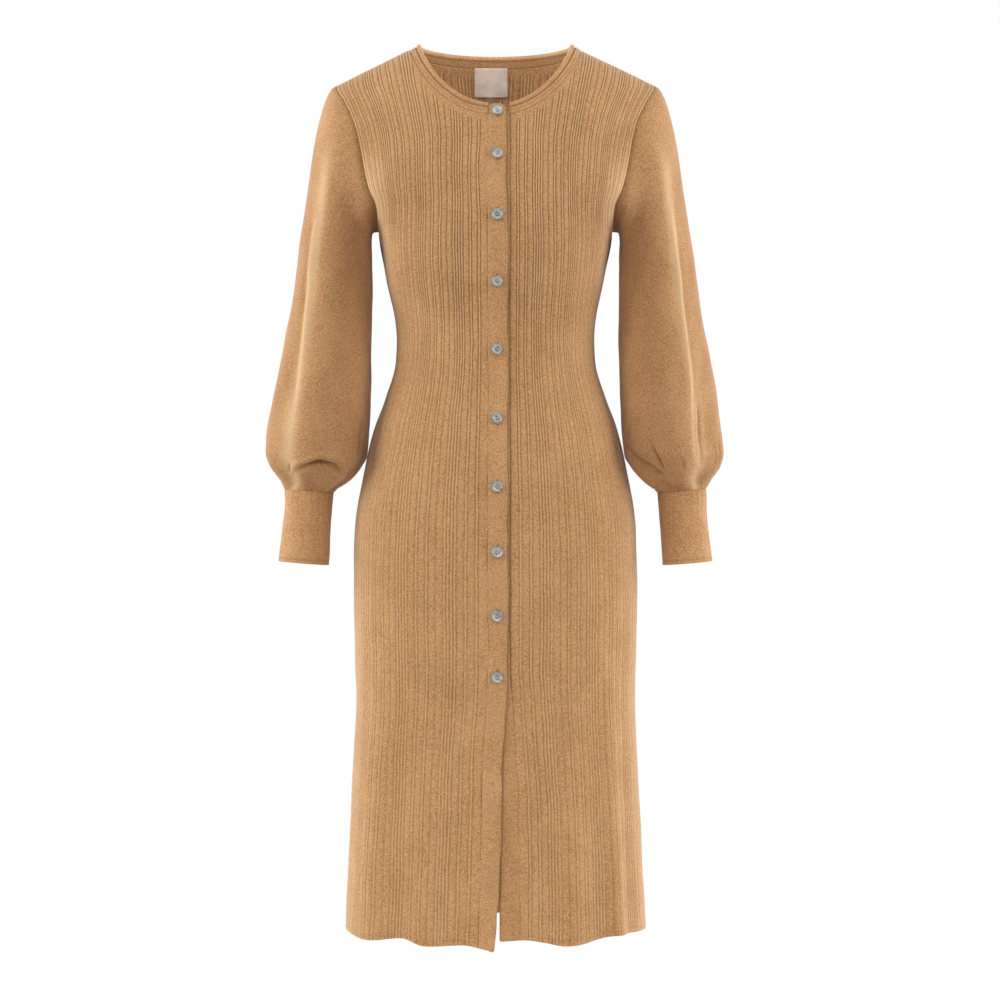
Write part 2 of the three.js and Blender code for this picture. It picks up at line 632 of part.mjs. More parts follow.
function bandWall(fromAt, toAt, lift) {
  const share = (k) => k / BAND_COLUMNS;
  const topDrop = (k) => BAND_CORNER_DROP * (2 * share(k) - 1) ** 2;
  const armShares = TURNS.slice(0, ARM_ROWS).reverse().map((turn) => (1 + Math.cos(turn)) / 2);
  const column = (k) => {
    const xAt = (z) => mix(fromAt(z), toAt(z), share(k));
    const rows = [hemAt(FRONT, xAt(HEM_Z)), ...SIDE_ROWS, UNDERARM_Z];
    const top = BAND_TOP_Z - topDrop(k);
    const levels = [...rows, ...armShares.map((up) => mix(UNDERARM_Z, top, up))];
    return levels.map((z) => skin(FRONT, xAt(z), z, lift));
  };
  const columns = Array.from({ length: BAND_COLUMNS + 1 }, (_, k) => column(k));
  return clothWall(columns[0].map((_, i) => columns.map((nodes) => nodes[i])));
}

const BUTTON_LEVELS = BUTTON_PITCHES.reduce(
  (levels, pitch) => [...levels, levels.at(-1) - pitch],
  [FIRST_BUTTON_Z],
);

// Where a button sits, and the turn that lays its flat side on the cloth.
function buttonSeat(z, lift) {
  const { at, half } = skin(FRONT, BUTTON_X, z, lift);
  const outwards = half.clone().normalize();
  const turn = new THREE.Quaternion().setFromUnitVectors(new THREE.Vector3(0, 0, 1), outwards);
  return { at, turn };
}

function toManifold(geometry) {
  const bare = geometry.clone();
  bare.deleteAttribute('normal');
  bare.deleteAttribute('uv');
  const merged = mergeVertices(bare);
  const mesh = new wasm.Mesh({
    numProp: 3,
    vertProperties: new Float32Array(merged.attributes.position.array),
    triVerts: new Uint32Array(merged.index.array),
  });
  return new wasm.Manifold(mesh);
}

function toGeometry(solid) {
  const mesh = solid.getMesh();
  const geometry = new THREE.BufferGeometry();
  geometry.setAttribute('position', new THREE.Float32BufferAttribute(mesh.vertProperties, 3));
  geometry.setIndex(Array.from(mesh.triVerts));
  return geometry;
}

// The upper band with an upright buttonhole for each button.
function upperBand() {
  let band = toManifold(bandWall(upperSeamAt, upperEdgeAt, LAYER_RISE));
  for (const z of BUTTON_LEVELS) {
    const { at, turn } = buttonSeat(z, LAYER_RISE);
    const hole = new THREE.BoxGeometry(BUTTONHOLE.width, BUTTONHOLE.length, BUTTONHOLE.depth);
    hole.applyQuaternion(turn).translate(at.x, at.y, at.z);
    band = band.subtract(toManifold(hole));
  }
  return toGeometry(band);
}

const lowerBand = () => bandWall((z) => lowerSeamAt(z) - LOWER_BAND_WIDTH, lowerSeamAt, 0);

// A round button with a raised rim, and the thread shank that reaches down to the lower band.
// Heights are above the upper band's outer face.
function buttonGeometry() {
  const back = BUTTON_CLEAR;
  const face = back + BUTTON_THICKNESS;
  const shankEnd = SEAM_GAP - LAYER_RISE;
  const profile = [
    [0, shankEnd],
    [SHANK_RADIUS, shankEnd],
    [SHANK_RADIUS, back],
    [BUTTON_RADIUS - 1, back],
    [BUTTON_RADIUS, back + BUTTON_THICKNESS / 2],
    [BUTTON_RADIUS - 1, face],
    [BUTTON_RADIUS - 2.6, face - 0.7],
    [0, face - 0.7],
  ];
  const lathe = new THREE.LatheGeometry(profile.map(([r, h]) => new THREE.Vector2(r, h)), BUTTON_SIDES);
  return lathe.rotateX(Math.PI / 2);
}

// ---------------------------------------------------------------- label and tab

// A strip of cloth inside the back, made from the back's own points and moved in.
function labelWall({ x, top, width, height, wall, clear }) {
  const lift = -(WALL / 2 + clear + wall / 2);
  const across = [0, 0.25, 0.5, 0.75, 1];
  const down = [1, 0.75, 0.5, 0.25, 0];
  const node = (u, v) => skin(BACK, x + (u - 0.5) * width, top - v * height, lift, wall);
  return clothWall(down.map((v) => across.map((u) => node(u, v))));
}

// ---------------------------------------------------------------- the dress

const dress = new THREE.Group();

function add(name, geometry, cloth) {
  const mesh = new THREE.Mesh(geometry, cloth);
  mesh.name = name;
  dress.add(mesh);
  return mesh;
}

function mirrored(geometry) {
  const positions = Array.from(geometry.attributes.position.array);
  for (let i = 0; i < positions.length; i += 3) positions[i] = -positions[i];
  return facingOut(positions, Array.from(geometry.index.array));
}

add('front_right', rightFront(), RIB_KNIT);
add('front_left', leftFront(), RIB_KNIT);
add('back_panel', backPanel(), RIB_KNIT);
add('sleeve_left', sleeveWall(LEFT_SLEEVE_FOLDS), JERSEY);
add('sleeve_right', mirrored(sleeveWall(RIGHT_SLEEVE_FOLDS)), JERSEY);
add('cuff_left', cuffWall(), JERSEY);
add('cuff_right', mirrored(cuffWall()), JERSEY);
add('neckband', neckband(), JERSEY);
add('band_upper', upperBand(), JERSEY);
add('band_lower', lowerBand(), JERSEY);
add('neck_label', labelWall(LABEL), LABEL_CLOTH);
add('size_tab', labelWall(SIZE_TAB), TAB_CLOTH);

BUTTON_LEVELS.forEach((z, index) => {
  const button = add(`button_${String(index + 1).padStart(2, '0')}`, buttonGeometry(), SHELL_BUTTON);
  const { at, turn } = buttonSeat(z, LAYER_RISE + WALL / 2);
  button.position.copy(at);
  button.quaternion.copy(turn);
});

export default dress;
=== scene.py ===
"""A rib-knit sweater dress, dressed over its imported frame.

The form is worked out in millimetres and handed to Blender in metres. +Z is up, +X is the
wearer's left and the buttoned front faces -Y.
"""

from __future__ import annotations

import logging
import math
from dataclasses import dataclass, field
from enum import Enum
from typing import Callable, Sequence

import bmesh
import bpy
import numpy as np
from mathutils import Matrix, Vector


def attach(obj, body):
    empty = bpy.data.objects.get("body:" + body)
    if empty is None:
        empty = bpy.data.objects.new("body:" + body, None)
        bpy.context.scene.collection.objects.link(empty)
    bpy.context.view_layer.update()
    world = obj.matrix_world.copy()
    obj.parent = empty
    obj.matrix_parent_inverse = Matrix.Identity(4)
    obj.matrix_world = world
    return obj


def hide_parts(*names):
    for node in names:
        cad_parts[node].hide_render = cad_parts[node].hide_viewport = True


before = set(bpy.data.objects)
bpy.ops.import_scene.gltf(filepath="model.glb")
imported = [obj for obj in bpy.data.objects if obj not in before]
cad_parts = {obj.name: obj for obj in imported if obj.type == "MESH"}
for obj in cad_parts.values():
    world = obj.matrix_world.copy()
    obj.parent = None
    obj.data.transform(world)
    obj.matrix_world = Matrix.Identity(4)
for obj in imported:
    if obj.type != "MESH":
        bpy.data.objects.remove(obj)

LOG = logging.getLogger("sweater_dress")
MM = 0.001
BODY = "root"

Array = np.ndarray
Line = Callable[[Array], Array]
Piece = bpy.types.Object
Material = bpy.types.Material
Socket = bpy.types.NodeSocket


# ---------------------------------------------------------------- plain arithmetic


def ease(t: Array) -> Array:
    """Rises smoothly from 0 to 1 as t does."""
    t = np.clip(t, 0.0, 1.0)
    return t * t * (3.0 - 2.0 * t)


def mix(a: Array, b: Array, t: Array) -> Array:
    """The value a share t of the way from a to b."""
    return a + (b - a) * t


def unit(vectors: Array) -> Array:
    """Vectors of the same direction with a length of one."""
    return vectors / np.maximum(np.linalg.norm(vectors, axis=-1, keepdims=True), 1e-12)


def ripple(a: Array, b: Array, phase: float = 0.0) -> Array:
    """A smooth uneven wave between about -1 and 1 over two coordinates in radians."""
    first = np.sin(1.0 * a + 0.7 * b + phase)
    second = np.sin(2.3 * a - 1.6 * b + 1.9 * phase + 1.0)
    third = np.sin(4.1 * a + 3.1 * b + 0.6 * phase + 2.2)
    return 0.5 * first + 0.32 * second + 0.18 * third


@dataclass(frozen=True)
class Curve:
    """A smooth curve through given points, with no overshoot, level past its ends."""

    xs: tuple[float, ...]
    ys: tuple[float, ...]

    @classmethod
    def through(cls, rows: Sequence[object], at: str, key: str) -> Curve:
        """Makes the curve of one column of a table.

        Args:
            rows: The table, with rising values of at.
            at: Name of the column that the curve runs along.
            key: Name of the column that it passes through.

        Returns:
            The curve.
        """
        return cls(
            tuple(float(getattr(row, at)) for row in rows),
            tuple(float(getattr(row, key)) for row in rows),
        )

    def __call__(self, x: Array) -> Array:
        """The curve's height at x."""
        xs, ys = np.asarray(self.xs), np.asarray(self.ys)
        x = np.clip(np.asarray(x, dtype=float), xs[0], xs[-1])
        steps = np.diff(ys) / np.diff(xs)
        before = np.concatenate([steps[:1], steps])
        after = np.concatenate([steps, steps[-1:]])
        product = before * after
        total = np.where(np.abs(before + after) < 1e-9, 1.0, before + after)
        slopes = np.where(product > 0, 2 * product / total, 0.0)
        i = np.clip(np.searchsorted(xs, x, side="right") - 1, 0, len(xs) - 2)
        span = xs[i + 1] - xs[i]
        t = (x - xs[i]) / span
        leave = t * (1 - t) ** 2 * span * slopes[i]
        arrive = t * t * (1 - t) * span * slopes[i + 1]
        return ys[i] + (ys[i + 1] - ys[i]) * t * t * (3 - 2 * t) + leave - arrive


# ---------------------------------------------------------------- tables of the form


@dataclass(frozen=True)
class Level:
    """One level of the body: half widths outside the cloth, and its reach to front and back."""

    z: float
    edge: float
    full: float
    front: float
    back: float


@dataclass(frozen=True)
class BandLine:
    """Where the two button bands lie at one level."""

    z: float
    upper_seam: float
    upper_edge: float
    lower_seam: float


@dataclass(frozen=True)
class HemPoint:
    """How far the front hem dips below its level at one place across."""

    x: float
    dip: float


@dataclass(frozen=True)
class FaceSizes:
    """What differs between the front and the back."""

    way: float
    roll_drop: float
    seam_drop: float
    rounding: float


class Face(Enum):
    """The two faces of the body."""

    FRONT = FaceSizes(-1.0, -90.0, -102.0, 190.0)
    BACK = FaceSizes(1.0, -5.0, -17.0, 150.0)


@dataclass(frozen=True)
class SkirtFold:
    """A soft upright fold of the skirt. place and width are parts of the half width."""

    face: Face
    place: float
    height: float
    width: float
    top: float


LEVELS = (
    Level(-1130, 191, 191, 126, 125),
    Level(-1000, 185, 185, 124, 124),
    Level(-906, 180, 180, 122, 123),
    Level(-829, 176.5, 176.5, 121, 124),
    Level(-779, 178, 178, 122, 126),
    Level(-690, 180, 180, 123, 129),
    Level(-613, 178, 178, 122, 127),
    Level(-537, 166, 166, 118, 117),
    Level(-486, 154, 154, 111, 106),
    Level(-448, 140, 140, 105, 97),
    Level(-397, 126, 126, 98, 87),
    Level(-372, 125, 125, 98, 85),
    Level(-347, 127, 127, 101, 87),
    Level(-296, 138, 138, 116, 95),
    Level(-234, 149, 149, 126, 103),
    Level(-222, 148.5, 156, 126, 105),
    Level(-210, 149, 166, 125, 106),
    Level(-188, 158, 185, 122, 108),
    Level(-163, 164.5, 193, 119, 109),
    Level(-130, 171, 203, 113, 108),
    Level(-105, 177, 210, 108, 105),
    Level(-76, 190, 222, 105, 102),
    Level(-50, 203, 232, 102, 100),
    Level(30, 203, 240, 100, 97),
)

BAND_LINES = (
    BandLine(-1130, -20, -2.3, 29),
    BandLine(-1080, -18.7, 2.5, 29),
    BandLine(-1033, -17.5, 5.7, 29),
    BandLine(-970, -16, 7, 28.5),
    BandLine(-893, -14.5, 8.8, 24.5),
    BandLine(-820, -10, 13.3, 19.5),
    BandLine(-780, -8.5, 15, 17),
    BandLine(-230, -8.5, 15, 17),
    BandLine(-170, -11, 13, 17),
    BandLine(-110, -8.5, 13.5, 17),
    BandLine(-80, -8.5, 13.5, 17),
)

HEM_WAVE = tuple(
    HemPoint(x, dip)
    for x, dip in (
        (-190, 3), (-155, 0), (-118, 5), (-88, -2), (-40, 1), (-12, -4), (-2, -7),
        (4, 5), (14, 6), (34, 7), (60, 3), (86, -2), (112, 0), (146, 6), (190, 4),
    )
)

SKIRT_FOLDS = (
    SkirtFold(Face.FRONT, -0.84, 6, 0.08, -700),
    SkirtFold(Face.FRONT, -0.62, -6, 0.1, -760),
    SkirtFold(Face.FRONT, -0.3, 3, 0.12, -820),
    SkirtFold(Face.FRONT, 0.36, -4, 0.12, -800),
    SkirtFold(Face.FRONT, 0.5, 4, 0.08, -740),
    SkirtFold(Face.FRONT, 0.66, -4, 0.07, -760),
    SkirtFold(Face.FRONT, 0.8, 6, 0.05, -720),
    SkirtFold(Face.FRONT, 0.9, -5, 0.05, -760),
    SkirtFold(Face.BACK, -0.7, 6, 0.09, -740),
    SkirtFold(Face.BACK, -0.46, -5, 0.1, -700),
    SkirtFold(Face.BACK, -0.14, 4, 0.12, -800),
    SkirtFold(Face.BACK, 0.2, -5, 0.12, -760),
    SkirtFold(Face.BACK, 0.52, 5, 0.1, -720),
    SkirtFold(Face.BACK, 0.78, -4, 0.08, -820),
)


@dataclass(frozen=True)
class BodyForm:
    """The filled-out body of the dress as one smooth form: the middle of its cloth."""

    wall: float = 2.0
    hem: float = -1120.0
    underarm: float = -234.0
    neck_half: float = 97.0
    seam_half: float = 108.0
    shoulder_half: float = 203.0
    shoulder_slope: float = 0.474
    neck_rise: float = 23.0
    neck_power: float = 1.44
    cross_power: float = 2.2
    layer_rise: float = 2.6
    lift_reach: float = 42.0
    calm_span: float = 75.0
    calm_width: float = 34.0
    calm_spread: float = 0.3
    edge_line: Curve = field(default=Curve.through(LEVELS, "z", "edge"))
    full_line: Curve = field(default=Curve.through(LEVELS, "z", "full"))
    front_line: Curve = field(default=Curve.through(LEVELS, "z", "front"))
    back_line: Curve = field(default=Curve.through(LEVELS, "z", "back"))
    upper_seam: Curve = field(default=Curve.through(BAND_LINES, "z", "upper_seam"))
    upper_edge: Curve = field(default=Curve.through(BAND_LINES, "z", "upper_edge"))
    lower_seam: Curve = field(default=Curve.through(BAND_LINES, "z", "lower_seam"))
    hem_dip: Curve = field(default=Curve.through(HEM_WAVE, "x", "dip"))

    def edge(self, z: Array) -> Array:
        """Half width to the side seam or the armhole."""
        return self.edge_line(z) - self.wall / 2

    def calm_edge(self, z: Array) -> Array:
        """Half width to the side evened out along the height, which the ribs keep to."""
        spread = np.linspace(-self.calm_span, self.calm_span, 13)
        weights = np.exp(-0.5 * (spread / self.calm_width) ** 2)
        near = np.asarray(z, dtype=float)[..., None] + spread
        reach = self.edge_line(near) + self.calm_spread * np.maximum(0, near - LEVELS[-2].z)
        return (reach @ weights) / weights.sum() - self.wall / 2

    def half(self, z: Array) -> Array:
        """Half width of the cross section."""
        return self.full_line(z) - self.wall / 2

    def reach(self, face: Face, z: Array) -> Array:
        """How far a face stands in front of or behind the side line."""
        line = self.front_line if face is Face.FRONT else self.back_line
        return line(z) - self.wall / 2

    def shoulder_line(self, x: Array) -> Array:
        """Height of the shoulder line; over the neck it rises on, where nothing is built."""
        out = np.abs(x)
        beyond = -self.shoulder_slope * (out - self.neck_half)
        over = self.neck_rise * (1 - (out / self.neck_half) ** 2)
        return np.where(out > self.neck_half, beyond, over)

    def shoulder_round(self, face: Face, x: Array, z: Array) -> Array:
        """0 on the shoulder line and 1 where the face has its full reach."""
        below = np.clip((self.shoulder_line(x) - z) / face.value.rounding, 0, 1)
        return np.sqrt(1 - (1 - below) ** 2)

    def point(self, face: Face, x: Array, z: Array) -> Array:
        """Points of the bare form at given x and z."""
        across = np.maximum(0, 1 - np.abs(x / self.half(z)) ** self.cross_power)
        depth = self.reach(face, z) * across ** (1 / self.cross_power)
        y = face.value.way * depth * self.shoulder_round(face, x, z)
        return np.stack(np.broadcast_arrays(x, y, z), axis=-1)

    def level(self, face: Face, x: Array, y: Array, z: Array) -> Array:
        """The form as a level surface: 0 on it and more outside it."""
        rounding = self.shoulder_round(face, x, z) ** self.cross_power
        outwards = np.abs(y / self.reach(face, z)) ** self.cross_power
        return outwards + rounding * (np.abs(x / self.half(z)) ** self.cross_power - 1)

    def normal(self, face: Face, at: Array, step: float = 0.5) -> Array:
        """Outward normals at points of the form."""
        x, y, z = at[..., 0], at[..., 1], at[..., 2]
        dx = self.level(face, x + step, y, z) - self.level(face, x - step, y, z)
        dy = self.level(face, x, y + step, z) - self.level(face, x, y - step, z)
        dz = self.level(face, x, y, z + step) - self.level(face, x, y, z - step)
        return unit(np.stack([dx, dy, dz], axis=-1))

    def folds(self, face: Face, x: Array, z: Array) -> Array:
        """Height of the skirt's folds over the form."""
        place = x / self.half(z)
        total = np.zeros(np.broadcast(x, z).shape)
        for fold in SKIRT_FOLDS:
            if fold.face is face:
                along = ease((fold.top - z) / (fold.top - self.hem))
                total += fold.height * along * np.exp(-(((place - fold.place) / fold.width) ** 2))
        return total

    def skin(self, face: Face, x: Array, z: Array, lift: Array = 0.0) -> tuple[Array, Array]:
        """The middle of the cloth, with its folds, and its normals.

        Args:
            face: Front or back.
            x: Place across.
            z: Height.
            lift: How far the cloth lies over the form.

        Returns:
            Points and outward unit normals.
        """
        at = self.point(face, x, z)
        normal = self.normal(face, at)
        rise = self.folds(face, x, z) + lift
        return at + normal * np.asarray(rise)[..., None], normal

    def hem_at(self, face: Face, x: Array) -> Array:
        """Height of the hem's edge."""
        dip = self.hem_dip(x) if face is Face.FRONT else 0.0 * np.asarray(x)
        return self.hem + dip

    def right_lift(self, x: Array) -> Array:
        """How far the right front rises on its way to the upper band."""
        return self.layer_rise * ease(1 + (x - float(self.upper_seam(0.0))) / self.lift_reach)

    def neck_seam(self, face: Face, turn: Array) -> tuple[Array, Array]:
        """x and z of the neckline's seam; turn is 0 in the middle and pi/2 at the shoulder."""
        fall = float(self.shoulder_line(self.seam_half)) * np.sin(turn) ** 2
        drop = face.value.seam_drop * np.cos(turn).clip(0) ** self.neck_power
        return self.seam_half * np.sin(turn), fall + drop

    def neck_roll(self, face: Face, turn: Array) -> tuple[Array, Array]:
        """x and z of the middle of the neck's rolled edge."""
        drop = face.value.roll_drop * np.cos(turn).clip(0) ** self.neck_power
        return self.neck_half * np.sin(turn), drop

    def top_line(self, face: Face, x: Array) -> Array:
        """Height at which a panel ends: at the neckline or on the shoulder line."""
        turn = np.arcsin(np.clip(np.abs(x) / self.seam_half, 0, 1))
        return np.where(np.abs(x) < self.seam_half, self.neck_seam(face, turn)[1], self.shoulder_line(x))

    def armhole(self, turn: Array) -> Array:
        """Points of the left armhole; turn is 0 at the shoulder, pi at the underarm."""
        top = float(self.shoulder_line(self.shoulder_half - self.wall / 2))
        z = mix(self.underarm, top, (1 + np.cos(turn)) / 2)
        front = self.point(Face.FRONT, self.edge(z), z)
        back = self.point(Face.BACK, self.edge(z), z)
        is_front = (np.mod(turn, 2 * np.pi) <= np.pi)[..., None]
        return np.where(is_front, front, back)


# ---------------------------------------------------------------- cloth meshes


@dataclass
class Cloth:
    """A grid of cloth: the middle of the wall, its normals, and what stands on each face.

    points and normals have the shape (rows, columns, 3); outer, inner and the painted shading (rows,
    columns).
    outer and inner are heights on the two faces. The painted shading is painted shade above 0, in grooves,
    creases and recesses where shade falls, and painted highlight below 0. uv is the place on the flat
    cloth, with a column more where the cloth is closed.
    """

    points: Array
    normals: Array
    outer: Array
    inner: Array
    painted_shading: Array
    uv: Array
    closed: bool = False
    wall: float = 2.0
    rim: float = 0.45
    inset: float = 0.15

    def _rim_share(self) -> Array:
        """Half thickness over the grid: full inside and thin on its open borders."""
        half = np.full(self.points.shape[:2], self.wall / 2)
        edges = [np.s_[0, :], np.s_[-1, :]]
        if not self.closed:
            edges += [np.s_[:, 0], np.s_[:, -1]]
        for edge in edges:
            half[edge] = self.wall / 2 * self.rim
        return half

    def _drawn_in(self) -> Array:
        """The middle points with the open borders drawn in by the inset."""
        at = self.points.copy()
        at[0] += unit(at[1] - at[0]) * self.inset
        at[-1] += unit(at[-2] - at[-1]) * self.inset
        if not self.closed:
            at[:, 0] += unit(at[:, 1] - at[:, 0]) * self.inset
            at[:, -1] += unit(at[:, -2] - at[:, -1]) * self.inset
        return at

    def area(self) -> float:
        """Flat area of the cloth in square metres, measured on its middle."""
        at = np.concatenate([self.points, self.points[:, :1]], axis=1) if self.closed else self.points
        across, down = at[:-1, 1:] - at[:-1, :-1], at[1:, :-1] - at[:-1, :-1]
        return float(np.linalg.norm(np.cross(across, down), axis=-1).sum()) * MM * MM

    def build(self, name: str, material: Material) -> Piece:
        """Makes the closed shell of this cloth.

        Args:
            name: Name of the object.
            material: Its finish.

        Returns:
            The object.
        """
        rows, columns = self.points.shape[:2]
        half, at = self._rim_share(), self._drawn_in()
        outside = at + self.normals * (half + self.outer)[..., None]
        inside = at - self.normals * (half + self.inner)[..., None]
        count = rows * columns
        spans = columns if self.closed else columns - 1
        i, j = np.meshgrid(np.arange(rows - 1), np.arange(spans), indexing="ij")
        near, far = j, (j + 1) % columns
        quad = np.stack([i * columns + near, i * columns + far,
                         (i + 1) * columns + far, (i + 1) * columns + near], axis=-1).reshape(-1, 4)
        wide = spans + 1
        flat = np.stack([i * wide + j, i * wide + j + 1,
                         (i + 1) * wide + j + 1, (i + 1) * wide + j], axis=-1).reshape(-1, 4)
        first = outside.reshape(-1, 3)[quad]
        facing = np.cross(first[:, 1] - first[:, 0], first[:, 3] - first[:, 0])
        towards = self.normals.reshape(-1, 3)[quad[:, 0]]
        flip = float((facing * towards).sum()) < 0
        rims, rim_flat = self._rim_quads(rows, columns, spans)
        quads = np.concatenate([quad, quad[:, ::-1] + count, rims])
        flats = np.concatenate([flat, flat[:, ::-1], rim_flat])
        if flip:
            quads, flats = quads[:, ::-1], flats[:, ::-1]
        vertices = np.concatenate([outside.reshape(-1, 3), inside.reshape(-1, 3)])
        painted_shading = np.concatenate([self.painted_shading.ravel(), self.painted_shading.ravel()])
        uv = self.uv.reshape(-1, 2)[flats.ravel()]
        return mesh_object(name, vertices, quads, uv, painted_shading, material)

    def _rim_quads(self, rows: int, columns: int, spans: int) -> tuple[Array, Array]:
        """Quads of the rims between the outer and the inner face, and their places in uv."""
        count, wide = rows * columns, spans + 1
        j = np.arange(spans)
        far = (j + 1) % columns
        last, last_flat = (rows - 1) * columns, (rows - 1) * wide
        quads = [
            np.stack([j, j + count, far + count, far], axis=-1),
            np.stack([last + far, last + far + count, last + j + count, last + j], axis=-1),
        ]
        flats = [
            np.stack([j, j, j + 1, j + 1], axis=-1),
            np.stack([last_flat + j + 1, last_flat + j + 1, last_flat + j, last_flat + j], axis=-1),
        ]
        if not self.closed:
            i = np.arange(rows - 1)
            a, b, end = i * columns, (i + 1) * columns, columns - 1
            quads.append(np.stack([b, b + count, a + count, a], axis=-1))
            quads.append(np.stack([a + end, a + end + count, b + end + count, b + end], axis=-1))
            a, b, end = i * wide, (i + 1) * wide, wide - 1
            flats.append(np.stack([b, b, a, a], axis=-1))
            flats.append(np.stack([a + end, a + end, b + end, b + end], axis=-1))
        return np.concatenate(quads), np.concatenate(flats)


def mesh_object(
    name: str,
    vertices: Array,
    faces: Array,
    uv: Array | None,
    painted_shading: Array | None,
    material: Material,
) -> Piece:
    """Makes a smooth-shaded object from arrays of points and equal-sided faces.

    Args:
        name: Name of the object.
        vertices: Points in millimetres.
        faces: Indices, one row for each face.
        uv: Place in the cloth in millimetres for each corner, or None.
        painted_shading: Painted shade for each vertex, in grooves, creases and recesses, with painted
            highlight below 0, or None.
        material: Its finish.

    Returns:
        The object, linked to the scene.
    """
    mesh = bpy.data.meshes.new(name)
    mesh.vertices.add(len(vertices))
    mesh.vertices.foreach_set("co", (vertices * MM).astype(np.float32).ravel())
    mesh.loops.add(faces.size)
    mesh.loops.foreach_set("vertex_index", faces.astype(np.int32).ravel())
    mesh.polygons.add(len(faces))
    mesh.polygons.foreach_set("loop_start", np.arange(0, faces.size, faces.shape[1], dtype=np.int32))
    mesh.update(calc_edges=True)
    if uv is not None:
        mesh.uv_layers.new(name="cloth").data.foreach_set("uv", uv.astype(np.float32).ravel())
    if painted_shading is not None:
        layer = mesh.attributes.new("painted_shading", "FLOAT", "POINT")
        layer.data.foreach_set("value", painted_shading.astype(np.float32))
    mesh.shade_smooth()
    mesh.validate()
    mesh.materials.append(material)
    piece = bpy.data.objects.new(name, mesh)
    bpy.context.scene.collection.objects.link(piece)
    return piece


def settle(piece: Piece, slot: str, *nodes: str) -> Piece:
    """Makes a piece ride on the dress and hides the solids that it stands for."""
    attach(piece, BODY)
    if nodes:
        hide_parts(*nodes)
    LOG.info("%s: %d faces", piece.name, len(piece.data.polygons))
    return piece


def sew(cloth: Cloth, name: str, slot: str, node: str, finish: Material) -> Piece:
    """Builds a piece of cloth, which rides on the dress and stands for its solid.

    Args:
        cloth: The cloth to build.
        name: Name of the piece.
        slot: Not used.
        node: The solid that it stands for.
        finish: Its material.

    Returns:
        The piece.
    """
    LOG.info("%s: cloth of %.4f m2", name, cloth.area())
    return settle(cloth.build(name, finish), slot, node)


def tube_quads(rings: int, around: int) -> Array:
    """Quads between neighbouring rings of a tube that is closed round its middle line.

    Args:
        rings: Number of rings.
        around: Number of points on each ring.

    Returns:
        Four indices for each quad.
    """
    i, j = np.meshgrid(np.arange(rings - 1), np.arange(around), indexing="ij")
    a, b = i * around + j, i * around + (j + 1) % around
    return np.stack([a, a + around, b + around, b], axis=-1).reshape(-1, 4)


def rework(piece: Piece, work: Callable[[bmesh.types.BMesh], object]) -> None:
    """Opens a piece's mesh for some work on it, then turns its faces out and smooths them.

    Args:
        piece: The piece to change.
        work: What is done to the open mesh.
    """
    mesh = bmesh.new()
    mesh.from_mesh(piece.data)
    work(mesh)
    bmesh.ops.recalc_face_normals(mesh, faces=mesh.faces)
    for face in mesh.faces:
        face.smooth = True
    mesh.to_mesh(piece.data)
    mesh.free()


# ---------------------------------------------------------------- finishes


class Shader:
    """A material under construction, with short ways to add its nodes."""

    def __init__(self, name: str) -> None:
        """Starts a material with a principled shader."""
        self.material = bpy.data.materials.new(name)
        self.material.use_nodes = True
        self.tree = self.material.node_tree
        self.surface = self.tree.nodes["Principled BSDF"]

    def add(self, kind: str, inputs: dict | None = None, **fields: object) -> bpy.types.Node:
        """Adds a node.

        Args:
            kind: Its type.
            inputs: Values or sockets for its inputs, by name or number.
            fields: Its own properties.

        Returns:
            The node.
        """
        node = self.tree.nodes.new(kind)
        for key, value in fields.items():
            setattr(node, key, value)
        for key, value in (inputs or {}).items():
            if isinstance(value, Socket):
                self.tree.links.new(value, node.inputs[key])
            else:
                node.inputs[key].default_value = value
        return node

    def math(self, operation: str, *values: object) -> Socket:
        """The result of a sum of one or more values or sockets."""
        return self.add("ShaderNodeMath", dict(enumerate(values)), operation=operation).outputs[0]

    def noise(self, place: Socket, scale: float, detail: float = 2.0) -> Socket:
        """Uneven values around one half at a scale in waves for each unit of place."""
        inputs = {"Vector": place, "Scale": scale, "Detail": detail, "Roughness": 0.6}
        return self.add("ShaderNodeTexNoise", inputs).outputs["Fac"]

    def stretched(self, place: Socket, scale: tuple[float, float, float]) -> Socket:
        """A place multiplied along each axis."""
        inputs = {"Vector": place, "Scale": scale}
        return self.add("ShaderNodeMapping", inputs).outputs[0]

    def between(self, low: float, high: float, value: Socket) -> Socket:
        """0 where value is under low and 1 where it is over high, smooth between."""
        inputs = {"Value": value, "From Min": low, "From Max": high}
        return self.add("ShaderNodeMapRange", inputs, interpolation_type="SMOOTHSTEP").outputs[0]

    def blend(self, share: object, a: object, b: object) -> Socket:
        """A colour a share of the way from a to b."""
        node = self.add("ShaderNodeMix", data_type="RGBA")
        for index, value in ((0, share), (6, a), (7, b)):
            if isinstance(value, Socket):
                self.tree.links.new(value, node.inputs[index])
            else:
                node.inputs[index].default_value = value if index == 0 else (*value, 1.0)
        return node.outputs[2]

    def attach(self, socket: str, value: Socket) -> None:
        """Leads a value to the surface."""
        self.tree.links.new(value, self.surface.inputs[socket])

    def bump(self, height: Socket, distance: float, strength: float) -> None:
        """Gives the surface a fine relief, with its distance in metres."""
        inputs = {"Height": height, "Distance": distance, "Strength": strength}
        self.attach("Normal", self.add("ShaderNodeBump", inputs).outputs[0])


Colour = tuple[float, float, float]


def paint(red: int, green: int, blue: int) -> Colour:
    """A colour in linear light from three steps of 0 to 255."""
    steps = (value / 255 for value in (red, green, blue))
    return tuple(v / 12.92 if v <= 0.04045 else ((v + 0.055) / 1.055) ** 2.4 for v in steps)


